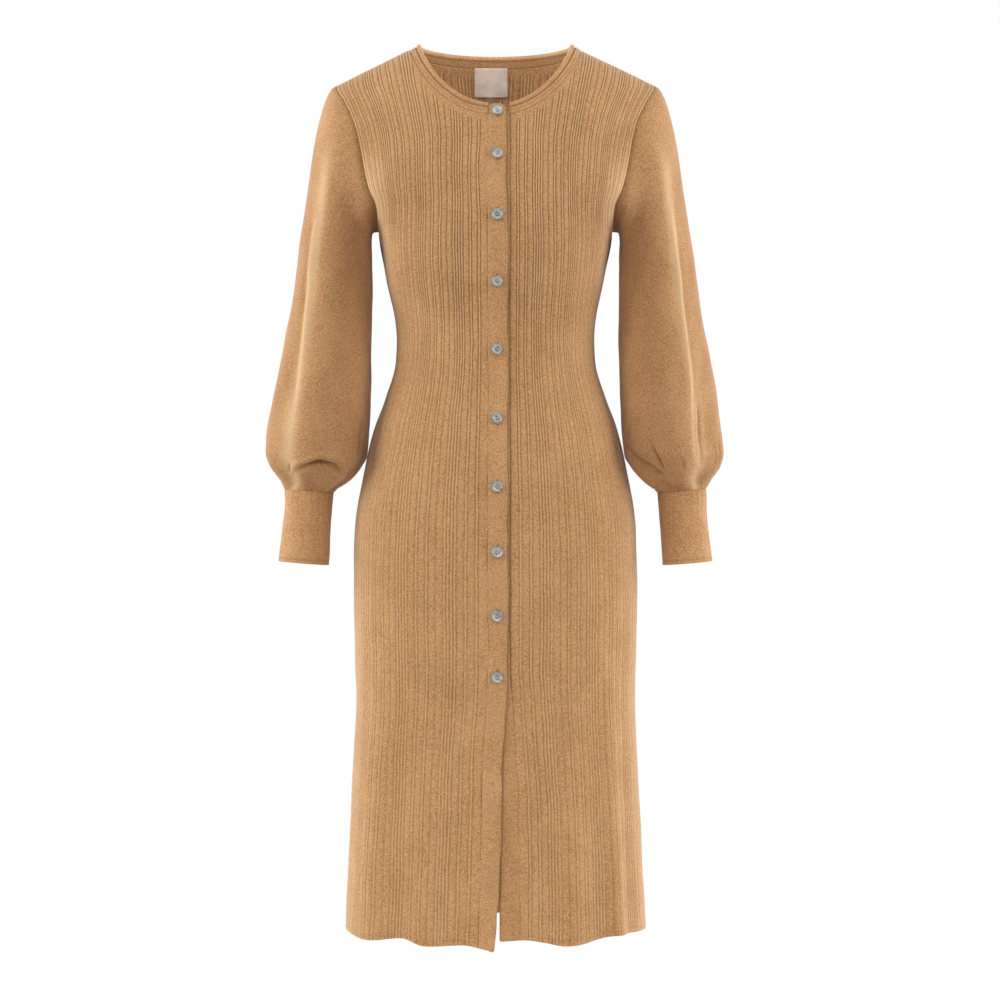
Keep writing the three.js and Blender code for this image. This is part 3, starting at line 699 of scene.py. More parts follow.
@dataclass(frozen=True)
class KnitFinish:
    """Camel melange yarn: a fine stitch, a soft fuzz, painted shade in its grooves and creases and painted
    highlight on its crests and sides.
    """

    name: str
    light: Colour
    dark: Colour
    # deep is the colour of the painted shade in grooves, creases and recesses, and pale the colour of the
    # painted highlight on crests and sides.
    deep: Colour
    pale: Colour
    # How strong the painted shade in grooves and the painted highlight on crests are.
    painted_groove_shade: float = 0.55
    painted_crest_highlight: float = 0.42
    streak: float = 0.12
    wale: float = 1.35
    course: float = 1.05
    relief: float = 0.5
    speckle_scale: float = 850.0
    fleck_scale: float = 470.0
    cloud_scale: float = 26.0
    contrast: tuple[float, float] = (0.42, 0.58)
    sheen: float = 0.45
    sheen_tint: Colour = (1.0, 0.9, 0.78)

    def _stitch(self, shader: Shader) -> Socket:
        """Height of the stitches: small overlapping arrows, in upright wales."""
        uv = shader.add("ShaderNodeUVMap", uv_map="cloth").outputs[0]
        apart = shader.add("ShaderNodeSeparateXYZ", {0: uv})
        across = shader.math("FRACT", shader.math("DIVIDE", apart.outputs[0], self.wale))
        side = shader.math("ABSOLUTE", shader.math("SUBTRACT", across, 0.5))
        leg = shader.math("DIVIDE", apart.outputs[1], self.course)
        course = shader.math("FRACT", shader.math("ADD", leg, shader.math("MULTIPLY", side, 1.3)))
        arch = shader.math("SINE", shader.math("MULTIPLY", course, math.pi))
        valley = shader.math("SUBTRACT", 1.0, shader.math("POWER", shader.math("MULTIPLY", side, 2.0), 3.0))
        return shader.math("MULTIPLY", valley, shader.math("MULTIPLY_ADD", arch, 0.6, 0.4))

    def material(self) -> Material:
        """Builds the material."""
        shader = Shader(self.name)
        place = shader.add("ShaderNodeTexCoord").outputs["Object"]
        speckle = shader.noise(place, self.speckle_scale, 3.0)
        flecks = shader.noise(shader.stretched(place, (1.0, 1.0, 1.5)), self.fleck_scale, 3.0)
        clouds = shader.noise(shader.stretched(place, (1.0, 1.0, 0.7)), self.cloud_scale, 2.0)
        stitch = self._stitch(shader)
        tone = shader.math("MULTIPLY_ADD", speckle, 0.5, shader.math("MULTIPLY", flecks, 0.5))
        tone = shader.math("MULTIPLY", tone, 1 - self.streak)
        tone = shader.math("MULTIPLY_ADD", clouds, self.streak, tone)
        # The stitch relief also tints the colour: a faint painted shade in its hollows and painted highlight
        # on its arches.
        tone = shader.math("MULTIPLY_ADD", shader.math("SUBTRACT", stitch, 0.5), 0.05, tone)
        colour = shader.blend(shader.between(*self.contrast, tone), self.dark, self.light)
        # Painted shade: the colour runs toward deep where the attribute is above 0, and toward pale, a
        # painted highlight, where it is below 0.
        painted_shading = shader.add("ShaderNodeAttribute", attribute_name="painted_shading").outputs["Fac"]
        sunk = shader.math("MAXIMUM", painted_shading, 0.0)
        depth = shader.math("MULTIPLY", shader.math("POWER", sunk, 0.9), self.painted_groove_shade)
        raised = shader.math("MAXIMUM", shader.math("MULTIPLY", painted_shading, -1.0), 0.0)
        crest = shader.math("MULTIPLY", raised, 2.0)
        colour = shader.blend(shader.math("MULTIPLY", crest, self.painted_crest_highlight), colour, self.pale)
        shader.attach("Base Color", shader.blend(depth, colour, self.deep))
        shader.attach("Roughness", shader.math("MULTIPLY_ADD", speckle, 0.12, 0.8))
        height = shader.math("MULTIPLY_ADD", stitch, self.relief, shader.math("MULTIPLY", speckle, 0.5))
        shader.bump(height, 0.0004, 0.55)
        surface = shader.surface.inputs
        surface["Specular IOR Level"].default_value = 0.18
        surface["Sheen Weight"].default_value = self.sheen
        surface["Sheen Roughness"].default_value = 0.45
        surface["Sheen Tint"].default_value = (*self.sheen_tint, 1.0)
        return shader.material


@dataclass(frozen=True)
class ShellFinish:
    """Grey mother-of-pearl with a cloudy grain and a faint lustre, and painted shade in its holes, on its
    sunk face and underneath.
    """

    name: str = "shell_button"
    pale: Colour = paint(206, 207, 200)
    grey: Colour = paint(124, 129, 127)
    # The colour of the painted shade.
    pit_shade: Colour = paint(70, 74, 78)

    def material(self) -> Material:
        """Builds the material."""
        shader = Shader(self.name)
        place = shader.add("ShaderNodeTexCoord").outputs["Object"]
        grain = shader.noise(shader.stretched(place, (1.0, 1.0, 2.0)), 150.0, 2.0)
        bands = shader.noise(shader.stretched(place, (2.2, 1.0, 0.6)), 120.0, 2.0)
        tone = shader.math("MULTIPLY_ADD", grain, 0.6, shader.math("MULTIPLY", bands, 0.4))
        colour = shader.blend(shader.between(0.3, 0.72, tone), self.grey, self.pale)
        # Painted shade in the holes, on the sunk face and underneath.
        pit_shade = shader.add("ShaderNodeAttribute", attribute_name="painted_shading").outputs["Fac"]
        shader.attach("Base Color", shader.blend(pit_shade, colour, self.pit_shade))
        shader.attach("Roughness", shader.math("MULTIPLY_ADD", grain, 0.25, 0.2))
        shader.bump(grain, 0.0001, 0.25)
        surface = shader.surface.inputs
        surface["Specular IOR Level"].default_value = 0.55
        surface["Coat Weight"].default_value = 0.35
        surface["Coat Roughness"].default_value = 0.15
        return shader.material


@dataclass(frozen=True)
class ThreadFinish:
    """Pale twisted sewing thread."""

    name: str = "button_thread"
    light: Colour = paint(240, 238, 230)
    dark: Colour = paint(186, 182, 170)

    def material(self) -> Material:
        """Builds the material."""
        shader = Shader(self.name)
        place = shader.add("ShaderNodeTexCoord").outputs["Object"]
        twist = shader.noise(place, 1800.0, 2.0)
        shader.attach("Base Color", shader.blend(twist, self.dark, self.light))
        shader.surface.inputs["Roughness"].default_value = 0.6
        shader.bump(twist, 0.0001, 0.3)
        return shader.material


@dataclass(frozen=True)
class WovenFinish:
    """A close woven tape, bare, with its warp and weft and a folded border."""

    name: str
    light: Colour
    dark: Colour
    thread: float = 0.45

    def material(self) -> Material:
        """Builds the material."""
        shader = Shader(self.name)
        uv = shader.add("ShaderNodeUVMap", uv_map="cloth").outputs[0]
        apart = shader.add("ShaderNodeSeparateXYZ", {0: uv})
        step = 2 * math.pi / self.thread
        warp = shader.math("SINE", shader.math("MULTIPLY", apart.outputs[0], step))
        weft = shader.math("SINE", shader.math("MULTIPLY", apart.outputs[1], step))
        weave = shader.math("MULTIPLY_ADD", shader.math("MULTIPLY", warp, weft), 0.5, 0.5)
        place = shader.add("ShaderNodeTexCoord").outputs["Object"]
        soil = shader.noise(place, 60.0, 3.0)
        # The weave relief also tints the colour: a faint painted shade in its hollows and painted highlight
        # on its raised threads.
        tone = shader.math("MULTIPLY_ADD", weave, 0.3, shader.math("MULTIPLY", soil, 0.7))
        colour = shader.blend(shader.between(0.3, 0.75, tone), self.dark, self.light)
        # Painted shade where the attribute is above 0, toward the dark colour.
        painted_shading = shader.add("ShaderNodeAttribute", attribute_name="painted_shading").outputs["Fac"]
        shader.attach("Base Color", shader.blend(painted_shading, colour, self.dark))
        shader.attach("Roughness", shader.math("MULTIPLY_ADD", weave, 0.1, 0.55))
        shader.bump(weave, 0.0001, 0.4)
        shader.surface.inputs["Specular IOR Level"].default_value = 0.3
        shader.surface.inputs["Sheen Weight"].default_value = 0.15
        return shader.material


@dataclass
class Finishes:
    """Every finish of the dress, by the part of it that wears it."""

    rib: Material = field(init=False)
    jersey: Material = field(init=False)
    shell: Material = field(init=False)
    thread: Material = field(init=False)
    label: Material = field(init=False)
    tab: Material = field(init=False)

    def __post_init__(self) -> None:
        """Builds the materials."""
        # deep is the painted shade colour and pale the painted highlight colour.
        light, dark, deep = paint(203, 158, 110), paint(160, 115, 69), paint(118, 76, 38)
        pale = paint(230, 194, 152)
        self.rib = KnitFinish("rib_knit", light, dark, deep, pale).material()
        smooth_light, smooth_dark = paint(204, 158, 112), paint(164, 118, 72)
        self.jersey = KnitFinish("jersey_knit", smooth_light, smooth_dark, deep, pale).material()
        self.shell = ShellFinish().material()
        self.thread = ThreadFinish().material()
        self.label = WovenFinish("label_cloth", paint(238, 222, 208), paint(206, 186, 168)).material()
        self.tab = WovenFinish("tab_cloth", paint(168, 140, 114), paint(128, 98, 72)).material()


# ---------------------------------------------------------------- rib panels


@dataclass(frozen=True)
class RibPattern:
    """The uneven rib across a half panel, in millimetres at the chest."""

    motif: str = "nwnwnnnnww"
    narrow: float = 3.5
    wide: float = 7.6
    plain: float = 10.0
    length: float = 192.0
    groove_half: float = 0.95
    depth: float = 1.0
    crest: float = 0.3

    def columns(self) -> tuple[Array, Array, Array]:
        """Places of the columns from the first seam outwards.

        Returns:
            Their places, how deep in a groove each lies and how far on a narrow rib's crest.
        """
        places = [(0.0, 0.0, 0.0)]
        places += [(x, 0.0, 0.0) for x in np.arange(3.0, self.plain - 1.5, 3.0)]
        at, step = self.plain, 0
        while at < self.length - 4.0:
            kind = self.motif[step % len(self.motif)]
            width = self.narrow if kind == "n" else self.wide
            places += [(at - self.groove_half, 0.0, 0.0), (at, 1.0, 0.0), (at + self.groove_half, 0.0, 0.0)]
            if kind == "n":
                places.append((at + width / 2, 0.0, 1.0))
            else:
                places += [(at + width * 0.38, 0.0, 0.1), (at + width * 0.62, 0.0, 0.1)]
            at += width
            step += 1
        places = [place for place in places if place[0] < self.length - 1.8]
        places.append((self.length, 0.0, 0.0))
        columns = np.array(sorted(set(places)))
        return columns[:, 0], columns[:, 1], columns[:, 2]


@dataclass
class RibPanel:
    """A panel of the body in rib knit, between a seam near the middle and the side."""

    name: str
    node: str
    form: BodyForm
    face: Face
    side: float
    seam: Line
    lift: Callable[[Array], Array]
    pattern: RibPattern = field(default_factory=RibPattern)
    lower_rows: int = 118
    upper_rows: int = 44
    cut: tuple[float, float] = (0.25, 1.15)
    stitch_height: float = 6.0
    calm: int = 8
    plain_side: float = 34.0
    plain_top: float = 7.0

    def _shares(self, columns: Array) -> tuple[Array, Array]:
        """How the columns lie between the seam and the side at each level, evenly along the cloth."""
        levels = np.arange(self.form.hem - 10, -129.0, 9.0)
        levels[-1] = -130.0
        even = columns / columns[-1]
        table = []
        for z in levels:
            seam, edge = float(self.seam(z)), float(self.form.edge(z))
            turn = np.linspace(0, np.pi / 2, 240)
            x = seam + (edge - seam) * np.sin(turn)
            at = self.form.point(self.face, x, np.full_like(x, z))
            steps = np.linalg.norm(np.diff(at, axis=0), axis=1)
            along = np.concatenate([[0.0], np.cumsum(steps)])
            table.append(np.interp(even * along[-1], along, np.sin(turn)))
        return levels, self._steady(np.array(table))

    def _steady(self, table: Array) -> Array:
        """The table evened out along the height, so that the ribs run in calm lines."""
        reach = 3 * self.calm
        weights = np.exp(-0.5 * (np.arange(-reach, reach + 1) / self.calm) ** 2)
        padded = np.pad(table, ((reach, reach), (0, 0)), mode="edge")
        return np.stack([weights @ padded[i : i + 2 * reach + 1] for i in range(len(table))]) / weights.sum()

    def _across(self, z: Array, levels: Array, table: Array, sway: Array) -> Array:
        """x of each column at heights z, as a positive distance from the middle."""
        spot = np.clip((z - levels[0]) / (levels[1] - levels[0]), 0, len(levels) - 1.001)
        low = spot.astype(int)
        column = np.broadcast_to(np.arange(table.shape[1]), z.shape)
        share = mix(table[low, column], table[low + 1, column], spot - low)
        share = np.clip(share + sway, 0, 1)
        return mix(self.seam(z), mix(self.form.calm_edge(z), self.form.edge(z), share**4), share)

    def _tops(self, columns: Array, levels: Array, table: Array) -> Array:
        """Height at which each column meets the neckline or the shoulder line."""
        low = np.full(len(columns), self.form.underarm)
        high = np.full(len(columns), 20.0)
        for _ in range(40):
            middle = (low + high) / 2
            x = self._across(middle, levels, table, np.zeros(len(columns)))
            inside = middle < self.form.top_line(self.face, x)
            low, high = np.where(inside, middle, low), np.where(inside, high, middle)
        low[-1] = float(self.form.shoulder_line(self.form.shoulder_half - self.form.wall / 2))
        return low

    def _heights(self, columns: Array, levels: Array, table: Array) -> Array:
        """Height of every node, rows from the hem up."""
        bottom = self.form.hem_at(self.face, self.side * self._across(
            np.full(len(columns), self.form.hem), levels, table, np.zeros(len(columns))))
        near = np.array([0.0, 0.7, 1.6, 3.2, 5.0, 6.0, 7.0, 9.5])
        rest = np.linspace(14.0, self.form.underarm - self.form.hem, self.lower_rows - len(near))
        rise = np.concatenate([near, rest])[:, None]
        full = self.form.underarm - self.form.hem
        lower = bottom + rise * (self.form.underarm - bottom) / full
        turn = np.pi * (1 - np.arange(1, self.upper_rows + 1) / self.upper_rows)
        upper = mix(self.form.underarm, self._tops(columns, levels, table), ((1 + np.cos(turn)) / 2)[:, None])
        return np.concatenate([lower, upper])

    def cloth(self, mitre: Callable[[Array], Array]) -> Cloth:
        """Works out the panel.

        Args:
            mitre: Gives the shared half-corner normals along the left armhole.

        Returns:
            Its cloth.
        """
        columns, grooves, crests = self.pattern.columns()
        levels, table = self._shares(columns)
        z = self._heights(columns, levels, table)
        inside = ease(columns / 12) * ease((columns[-1] - columns) / 12)
        below_top = ease((z[-1] - z) / 24)
        sway = 0.0032 * inside * below_top * ripple(z * 0.055, columns * 0.11, self.side)
        x = self.side * self._across(z, levels, table, sway)
        points, normals = self.form.skin(self.face, x, z, self.lift(x))
        points = points + normals * (0.7 * ripple(z * 0.02, x * 0.03, 2.0 * self.side))[..., None]
        self._join_armhole(points, normals, mitre)
        chest = ease((z + 760) / 560)
        # The grooves' depth, and so their painted shade, varies unevenly across the panel.
        uneven_depth = 0.62 + 0.38 * ripple(z * 0.34, columns * 0.9, 0.5)
        below = ease((self.form.underarm + 30 - z) / 90)
        smooth = 1 - 0.7 * below * ease((columns - columns[-1] + self.plain_side) / self.plain_side)
        depth = grooves * mix(0.85, 1.0, chest) * mix(uneven_depth, 0.85 + 0.15 * uneven_depth, chest) * smooth
        under_neck = ease((self.form.top_line(self.face, x) - z - self.plain_top) / 3.0)
        fade = np.where(np.abs(x) < self.form.seam_half, under_neck, 1.0)
        fade = fade * np.clip((self.form.top_line(self.face, x) - z) / 4.0, 0, 1)
        depth = depth * fade
        height = z - z[0]
        stitching = 0.55 * np.exp(-(((height - self.stitch_height) / 0.7) ** 2))
        outer = -self.pattern.depth * depth + self.pattern.crest * crests * fade - 0.35 * stitching
        inner = -0.55 * depth
        # light is a painted highlight on the crests of the narrow ribs.
        light = crests * fade * smooth * mix(0.6, 1.0, chest)
        # A painted shadow of the upper band's free edge, on the first columns of the left front.
        if self.side > 0 and self.face is Face.FRONT:
            depth = np.maximum(depth, 0.7 * np.exp(-((columns / 1.8) ** 2)) * ease((z + 830) / 50))
        # Painted shade in the rib grooves and the hem's stitch groove, less the painted highlight on the
        # crests, plus the painted side light and underarm shade.
        dashes = 0.5 + 0.5 * np.sin(columns * 1.9 + 0 * z)
        painted_shading = np.clip(np.maximum(depth, stitching * dashes), 0, 1) - 0.5 * light + self._side_light_and_underarm_shade(columns, z)
        uv = np.stack(np.broadcast_arrays(columns + 0 * z, z), axis=-1)
        return Cloth(points, normals, outer, inner, painted_shading, uv)

    def _side_light_and_underarm_shade(self, columns: Array, z: Array) -> Array:
        """Painted highlight on the sides, strongest at bust level, and painted shade in the underarm."""
        out = columns - columns[-1]
        pale = ease((out + 62) / 62) * ease((-120 - z) / 60)
        bust = np.exp(-(((z + 235) / 80) ** 2))
        arm = np.exp(-(((z - self.form.underarm - 14) / 26) ** 2)) * np.exp(-((out / 6) ** 2))
        return 0.3 * arm - (0.4 + 0.5 * bust) * pale

    def _join_armhole(self, points: Array, normals: Array, mitre: Callable[[Array], Array]) -> None:
        """Turns the last column's normals to halve the corner with the sleeve."""
        turn = np.pi * (1 - np.arange(0, self.upper_rows + 1) / self.upper_rows)
        around = turn if self.face is Face.FRONT else 2 * np.pi - turn
        corner = mitre(around)
        corner[:, 0] *= self.side
        rows = slice(-self.upper_rows - 1, None)
        normals[rows, -1] = corner

    def make(self, finish: Material, mitre: Callable[[Array], Array], area: float) -> Piece:
        piece = sew(self.cloth(mitre), self.name, "rib_knit", self.node, finish)
        return piece


@dataclass
class BackPanel(RibPanel):
    """The back: two mirrored halves in one piece, from side to side."""

    def cloth(self, mitre: Callable[[Array], Array]) -> Cloth:
        """Works out both halves and joins them along the middle.

        Args:
            mitre: Gives the shared half-corner normals along the left armhole.

        Returns:
            The cloth of the whole back.
        """
        left = super().cloth(mitre)
        self.side = -self.side
        right = super().cloth(mitre)
        self.side = -self.side

        def join(name: str) -> Array:
            """One field of both halves, side by side."""
            return np.concatenate([getattr(right, name)[:, :0:-1], getattr(left, name)], axis=1)

        uv = join("uv")
        uv[:, : right.uv.shape[1] - 1, 0] *= -1
        return Cloth(join("points"), join("normals"), join("outer"), join("inner"), join("painted_shading"), uv)


# ---------------------------------------------------------------- sleeves


@dataclass(frozen=True)
class Section:
    """One ring of a sleeve: its outermost and innermost points and its reach in y."""

    out_x: float
    out_z: float
    in_x: float
    in_z: float
    front: float
    back: float
    hold: float = 0.0


@dataclass(frozen=True)
class Gather:
    """A soft fold that runs down a sleeve. turn and width are in degrees."""

    turn: float
    height: float
    width: float
    bottom: float
    top: float


@dataclass(frozen=True)
class Crease:
    """A sharp fold along a path of (turn in degrees, height), with a raised lip on one side."""

    path: tuple[tuple[float, float], ...]
    depth: float
    width: float
    lip: float = 0.0
    lip_width: float = 4.0
    # Strength of the painted shade in the crease's trough.
    dark: float = 0.5
    deepening: float = 1.5
    raising: float = 1.3

    def relief(self, turn: Array, z: Array, radius: float) -> tuple[Array, Array]:
        """Height of the crease over the cloth, and the painted shade in its trough.

        Args:
            turn: Degrees round the sleeve.
            z: Height.
            radius: Radius that turns degrees into millimetres.

        Returns:
            Height in millimetres and painted shade from 0 to 1.
        """
        scale = math.radians(1.0) * radius
        path = np.array([(t * scale, h) for t, h in self.path])
        lengths = np.linalg.norm(np.diff(path, axis=0), axis=1)
        starts = np.concatenate([[0.0], np.cumsum(lengths)])
        middle = float(np.mean([t for t, _ in self.path]))
        across = (middle + np.mod(turn - middle + 180, 360) - 180) * scale
        best = np.full(turn.shape, 1e9)
        signed = np.zeros(turn.shape)
        share = np.zeros(turn.shape)
        for k, length in enumerate(lengths):
            way = (path[k + 1] - path[k]) / length
            dx, dz = across - path[k, 0], z - path[k, 1]
            along = np.clip(dx * way[0] + dz * way[1], 0, length)
            gap = np.hypot(dx - along * way[0], dz - along * way[1])
            nearer = gap < best
            best = np.where(nearer, gap, best)
            signed = np.where(nearer, np.sign(way[0] * dz - way[1] * dx) * gap, signed)
            share = np.where(nearer, (starts[k] + along) / starts[-1], share)
        taper = np.clip(np.sin(np.pi * np.clip(share, 0.02, 0.98)), 0, 1) ** 0.6
        trough = np.exp(-((best / self.width) ** 2)) * taper
        ridge = np.exp(-(((signed - 1.4 * self.width) / self.lip_width) ** 2)) * taper
        beyond = np.exp(-((np.maximum(best - 3 * self.lip_width, 0) / self.lip_width) ** 2))
        shade = np.clip(self.dark * self.deepening, 0, 1) * trough
        return -self.deepening * self.depth * trough + self.raising * self.lip * ridge * beyond, shade


SLEEVE_SECTIONS = (
    Section(203, -50, 149, -234, -66, 60, 1),
    Section(209, -55, 155, -234, -67, 61, 0.9),
    Section(216, -70, 158, -238, -67, 60, 0.6),
    Section(223, -94, 158, -246, -66, 58, 0.3),
    Section(230.5, -130, 157, -258, -63, 55),
    Section(239, -190, 156.5, -278, -60, 50),
    Section(248, -250, 156.5, -305, -60, 46),
    Section(257, -320, 156.5, -350, -63, 43),
    Section(268, -385, 156.5, -402, -69, 41),
    Section(279.5, -446, 157.5, -455, -77, 41),
    Section(288.5, -495, 159.5, -497, -84, 40),
    Section(290, -515, 162, -519, -85, 39),
    Section(285, -531, 170, -533, -80, 34),
    Section(277.5, -541, 181.5, -547, -70, 24),
    Section(271, -549, 192, -555, -60, 14),
    Section(268, -555.5, 199, -559.5, -55, 9.5),
    Section(266.5, -561, 203.5, -565, -53, 8),
)

CUFF_SECTIONS = (
    Section(266, -561, 204, -565, -52.5, 7.5),
    Section(265.5, -580, 206, -585, -53, 6),
    Section(269, -617, 208.5, -621, -55, 6),
    Section(273.5, -652, 210, -657, -59, 6),
)

LEFT_GATHERS = (
    Gather(18, 3, 16, -480, -180), Gather(58, -3, 15, -535, -430), Gather(84, 3, 12, -535, -440),
    Gather(118, -4, 14, -535, -400), Gather(150, 3, 14, -535, -440), Gather(205, -3, 15, -535, -420),
    Gather(245, 3, 16, -535, -430), Gather(290, -4, 15, -535, -410), Gather(325, 3, 14, -535, -450),
)

RIGHT_GATHERS = (
    Gather(30, 3, 16, -480, -200), Gather(62, -3, 14, -535, -440), Gather(92, -4, 15, -535, -470),
    Gather(130, 3, 16, -520, -380), Gather(160, -3, 14, -535, -430), Gather(215, 3, 15, -535, -430),
    Gather(255, -4, 16, -535, -410), Gather(300, 3, 15, -535, -420), Gather(335, -3, 14, -535, -450),
)

# Sharp folds of the wearer's left sleeve: a long ridge with a twin at its end, a slanting pleat,
# tucks over the cuff at the inside, and others like them behind.
LEFT_CREASES = (
    Crease(((53, -215), (54, -300), (57, -400), (62, -475), (63, -520)), 1.6, 5, 3.2, 4.5, 0.12),
    Crease(((56, -455), (57, -490), (58, -530)), 3.2, 2.4, 2.4, 2.6, 0.4),
    Crease(((118, -504), (107, -541)), 2.6, 1.7, -0.9, 3.0, 0.75),
    Crease(((84, -524), (82, -538)), 1.4, 2.2, 0.5, 3.0, 0.4),
    Crease(((152, -508), (138, -524), (118, -541)), 3.0, 3.6, 1.8, 3.6, 0.3),
    Crease(((128, -541), (112, -544)), 1.8, 1.6, 0.8, 2.5, 0.6),
    Crease(((150, -486), (151, -503)), 1.6, 2.2, 0.6, 3.0, 0.3),
    Crease(((28, -500), (24, -536)), 1.8, 2.6, 1.0, 3.4, 0.3),
    Crease(((232, -490), (240, -540)), 2.4, 2.2, 1.4, 3.4, 0.4),
    Crease(((268, -500), (262, -542)), 2.6, 2.0, 1.2, 3.0, 0.5),
    Crease(((300, -470), (306, -536)), 2.4, 3.0, 1.6, 4.0, 0.3),
    Crease(((336, -505), (330, -541)), 2.0, 2.2, 1.0, 3.0, 0.4),
)

RIGHT_CREASES = (
    Crease(((62, -541), (78, -533), (98, -527), (118, -529), (132, -540)), 4.2, 3.0, 4.0, 4.2, 0.5),
    Crease(((60, -530), (56, -541)), 2.2, 2.0, 0.9, 3.0, 0.4),
    Crease(((142, -541), (158, -532)), 2.4, 2.4, 1.4, 3.4, 0.4),
    Crease(((30, -515), (24, -541)), 1.8, 2.4, 1.0, 3.4, 0.3),
    Crease(((46, -220), (50, -320), (56, -420), (60, -480)), 1.4, 6, 2.6, 6.0, 0.1),
    Crease(((150, -470), (146, -520)), 2.0, 3.2, 1.2, 4.0, 0.25),
    Crease(((228, -500), (236, -541)), 2.4, 2.2, 1.4, 3.4, 0.4),
    Crease(((262, -480), (258, -540)), 2.6, 2.4, 1.4, 3.4, 0.4),
    Crease(((296, -505), (302, -541)), 2.2, 2.0, 1.2, 3.0, 0.4),
    Crease(((334, -490), (330, -538)), 2.2, 2.6, 1.2, 3.6, 0.3),
)


@dataclass
class Sleeve:
    """A balloon sleeve from the armhole to the cuff's seam."""

    name: str
    node: str
    form: BodyForm
    side: float
    gathers: tuple[Gather, ...]
    creases: tuple[Crease, ...]
    around: int = 172
    upper_rows: int = 62
    lower_rows: int = 78
    radius: float = 62.0
    cut: tuple[float, float] = (0.345, 0.53)
    sections: tuple[Section, ...] = SLEEVE_SECTIONS
    slim: float = 0.0
    close_rows: float = 135.0

    def _stations(self) -> Array:
        """Distance along the sleeve at each section."""
        middles = np.array([[(s.out_x + s.in_x) / 2, (s.out_z + s.in_z) / 2] for s in self.sections])
        outs = np.array([[s.out_x, s.out_z] for s in self.sections])
        lengths = [np.linalg.norm(np.diff(line, axis=0), axis=1) for line in (middles, outs)]
        steps = (lengths[0] + lengths[1]) / 2
        return np.concatenate([[0.0], np.cumsum(steps)])

    def _ring(self, station: Array, turn: Array) -> Array:
        """Points of the sleeve at stations along it and turns round it, without folds."""
        stations = tuple(self._stations())

        def along(key: str) -> Array:
            """One size of the sections at the stations."""
            return Curve(stations, tuple(getattr(s, key) for s in self.sections))(station)

        wall = self.form.wall / 2
        outwards = (1 + np.cos(turn)) / 2
        middle = (along("front") + along("back")) / 2
        half = (along("back") - along("front")) / 2 - wall
        slim = self.slim * np.exp(-(((along("out_z") + 500) / 45) ** 2))
        x = mix(along("in_x") + wall, along("out_x") - wall - slim, outwards)
        z = mix(along("in_z"), along("out_z"), outwards)
        at = np.stack(np.broadcast_arrays(x, middle - half * np.sin(turn), z), axis=-1)
        if self.sections[0].hold:
            at = at + (self.form.armhole(turn) - self._head(turn)) * along("hold")[..., None]
        return at

    def _head(self, turn: Array) -> Array:
        """The first section's own plain ring."""
        first, wall = self.sections[0], self.form.wall / 2
        outwards = (1 + np.cos(turn)) / 2
        half = (first.back - first.front) / 2 - wall
        x = mix(first.in_x + wall, first.out_x - wall, outwards)
        y = (first.front + first.back) / 2 - half * np.sin(turn)
        return np.stack(np.broadcast_arrays(x, y, mix(first.in_z, first.out_z, outwards)), axis=-1)

    def mitre(self, turn: Array) -> Array:
        """Normals along the left armhole that halve the corner between body and sleeve."""
        turn = np.asarray(turn, dtype=float)
        at = self.form.armhole(turn)
        front, back = self.form.normal(Face.FRONT, at), self.form.normal(Face.BACK, at)
        is_front = (np.mod(turn, 2 * np.pi) <= np.pi)[..., None]
        body = np.where(is_front, front, back)
        step = 0.05
        along = self.form.armhole(turn + step) - self.form.armhole(np.maximum(turn - step, 0))
        outwards = self._ring(np.full(turn.shape, self._stations()[1]), turn) - at
        return unit(body + unit(np.cross(along, outwards)))

    def _normals(self, points: Array) -> Array:
        """Normals of a closed grid of points, rows down the sleeve."""
        down = np.gradient(points, axis=0)
        along = np.roll(points, -1, axis=1) - np.roll(points, 1, axis=1)
        return unit(np.cross(along, down))

    def _rows(self) -> Array:
        """Stations of the rows: wide apart above and close together over the cuff."""
        end = self._stations()[-1]
        upper = np.linspace(0, end - self.close_rows, self.upper_rows, endpoint=False)
        return np.concatenate([upper, np.linspace(end - self.close_rows, end, self.lower_rows)])

    def _unrolled(self, station: Array, turn: Array) -> Array:
        """Place of each node on the cloth laid flat, with a column more to close the tube."""
        wide = np.concatenate([turn, np.full((len(turn), 1), 2 * np.pi)], axis=1)
        return np.stack([wide * self.radius, np.broadcast_to(station[:, :1], wide.shape)], axis=-1)

    def _on_its_side(self, points: Array, normals: Array) -> tuple[Array, Array]:
        """Points and normals on the sleeve's own side of the dress."""
        across = [self.side, 1, 1]
        return points * across, normals * across

    def cloth(self) -> Cloth:
        """Works out the sleeve's cloth with all its folds."""
        turn = np.linspace(0, 2 * np.pi, self.around, endpoint=False)[None, :]
        station = self._rows()[:, None]
        station, turn = np.broadcast_arrays(station, turn)
        points = self._ring(station, turn)
        normals = self._normals(points)
        rise, painted_shading = self._folds(np.degrees(turn), points[..., 2])
        end = self._stations()[-1]
        free = ease(station / 14) * ease((end - station) / 9)
        points = points + normals * (rise * free)[..., None]
        normals = self._normals(points)
        normals[0] = self.mitre(turn[0])
        normals[-1] = unit(normals[-1] * np.array([1.0, 1.0, 0.0]))
        points, normals = self._on_its_side(points, normals)
        gather = 0.25 * np.sin(turn * 46) * np.exp(-(((end - station) / 7) ** 2))
        # Painted shade and painted highlight in bands down the sleeve, with painted shade in the creases.
        painted_shading = self._painted_shade_and_highlight(station, turn, end) + painted_shading * free
        uv = self._unrolled(station, turn)
        return Cloth(points, normals, gather, 0 * gather, painted_shading, uv, closed=True, inset=-0.5)

    @staticmethod
    def _painted_shade_and_highlight(station: Array, turn: Array, end: float) -> Array:
        """Painted shade in the fine gathers just above the cuff and in the underarm, with bands of painted
        shade and painted highlight down the sleeve.
        """
        degrees = np.degrees(turn)

        def band(middle: float, width: float) -> Array:
            """A soft band that runs down the sleeve at one place round it."""
            return np.exp(-(((degrees - middle) / width) ** 2))

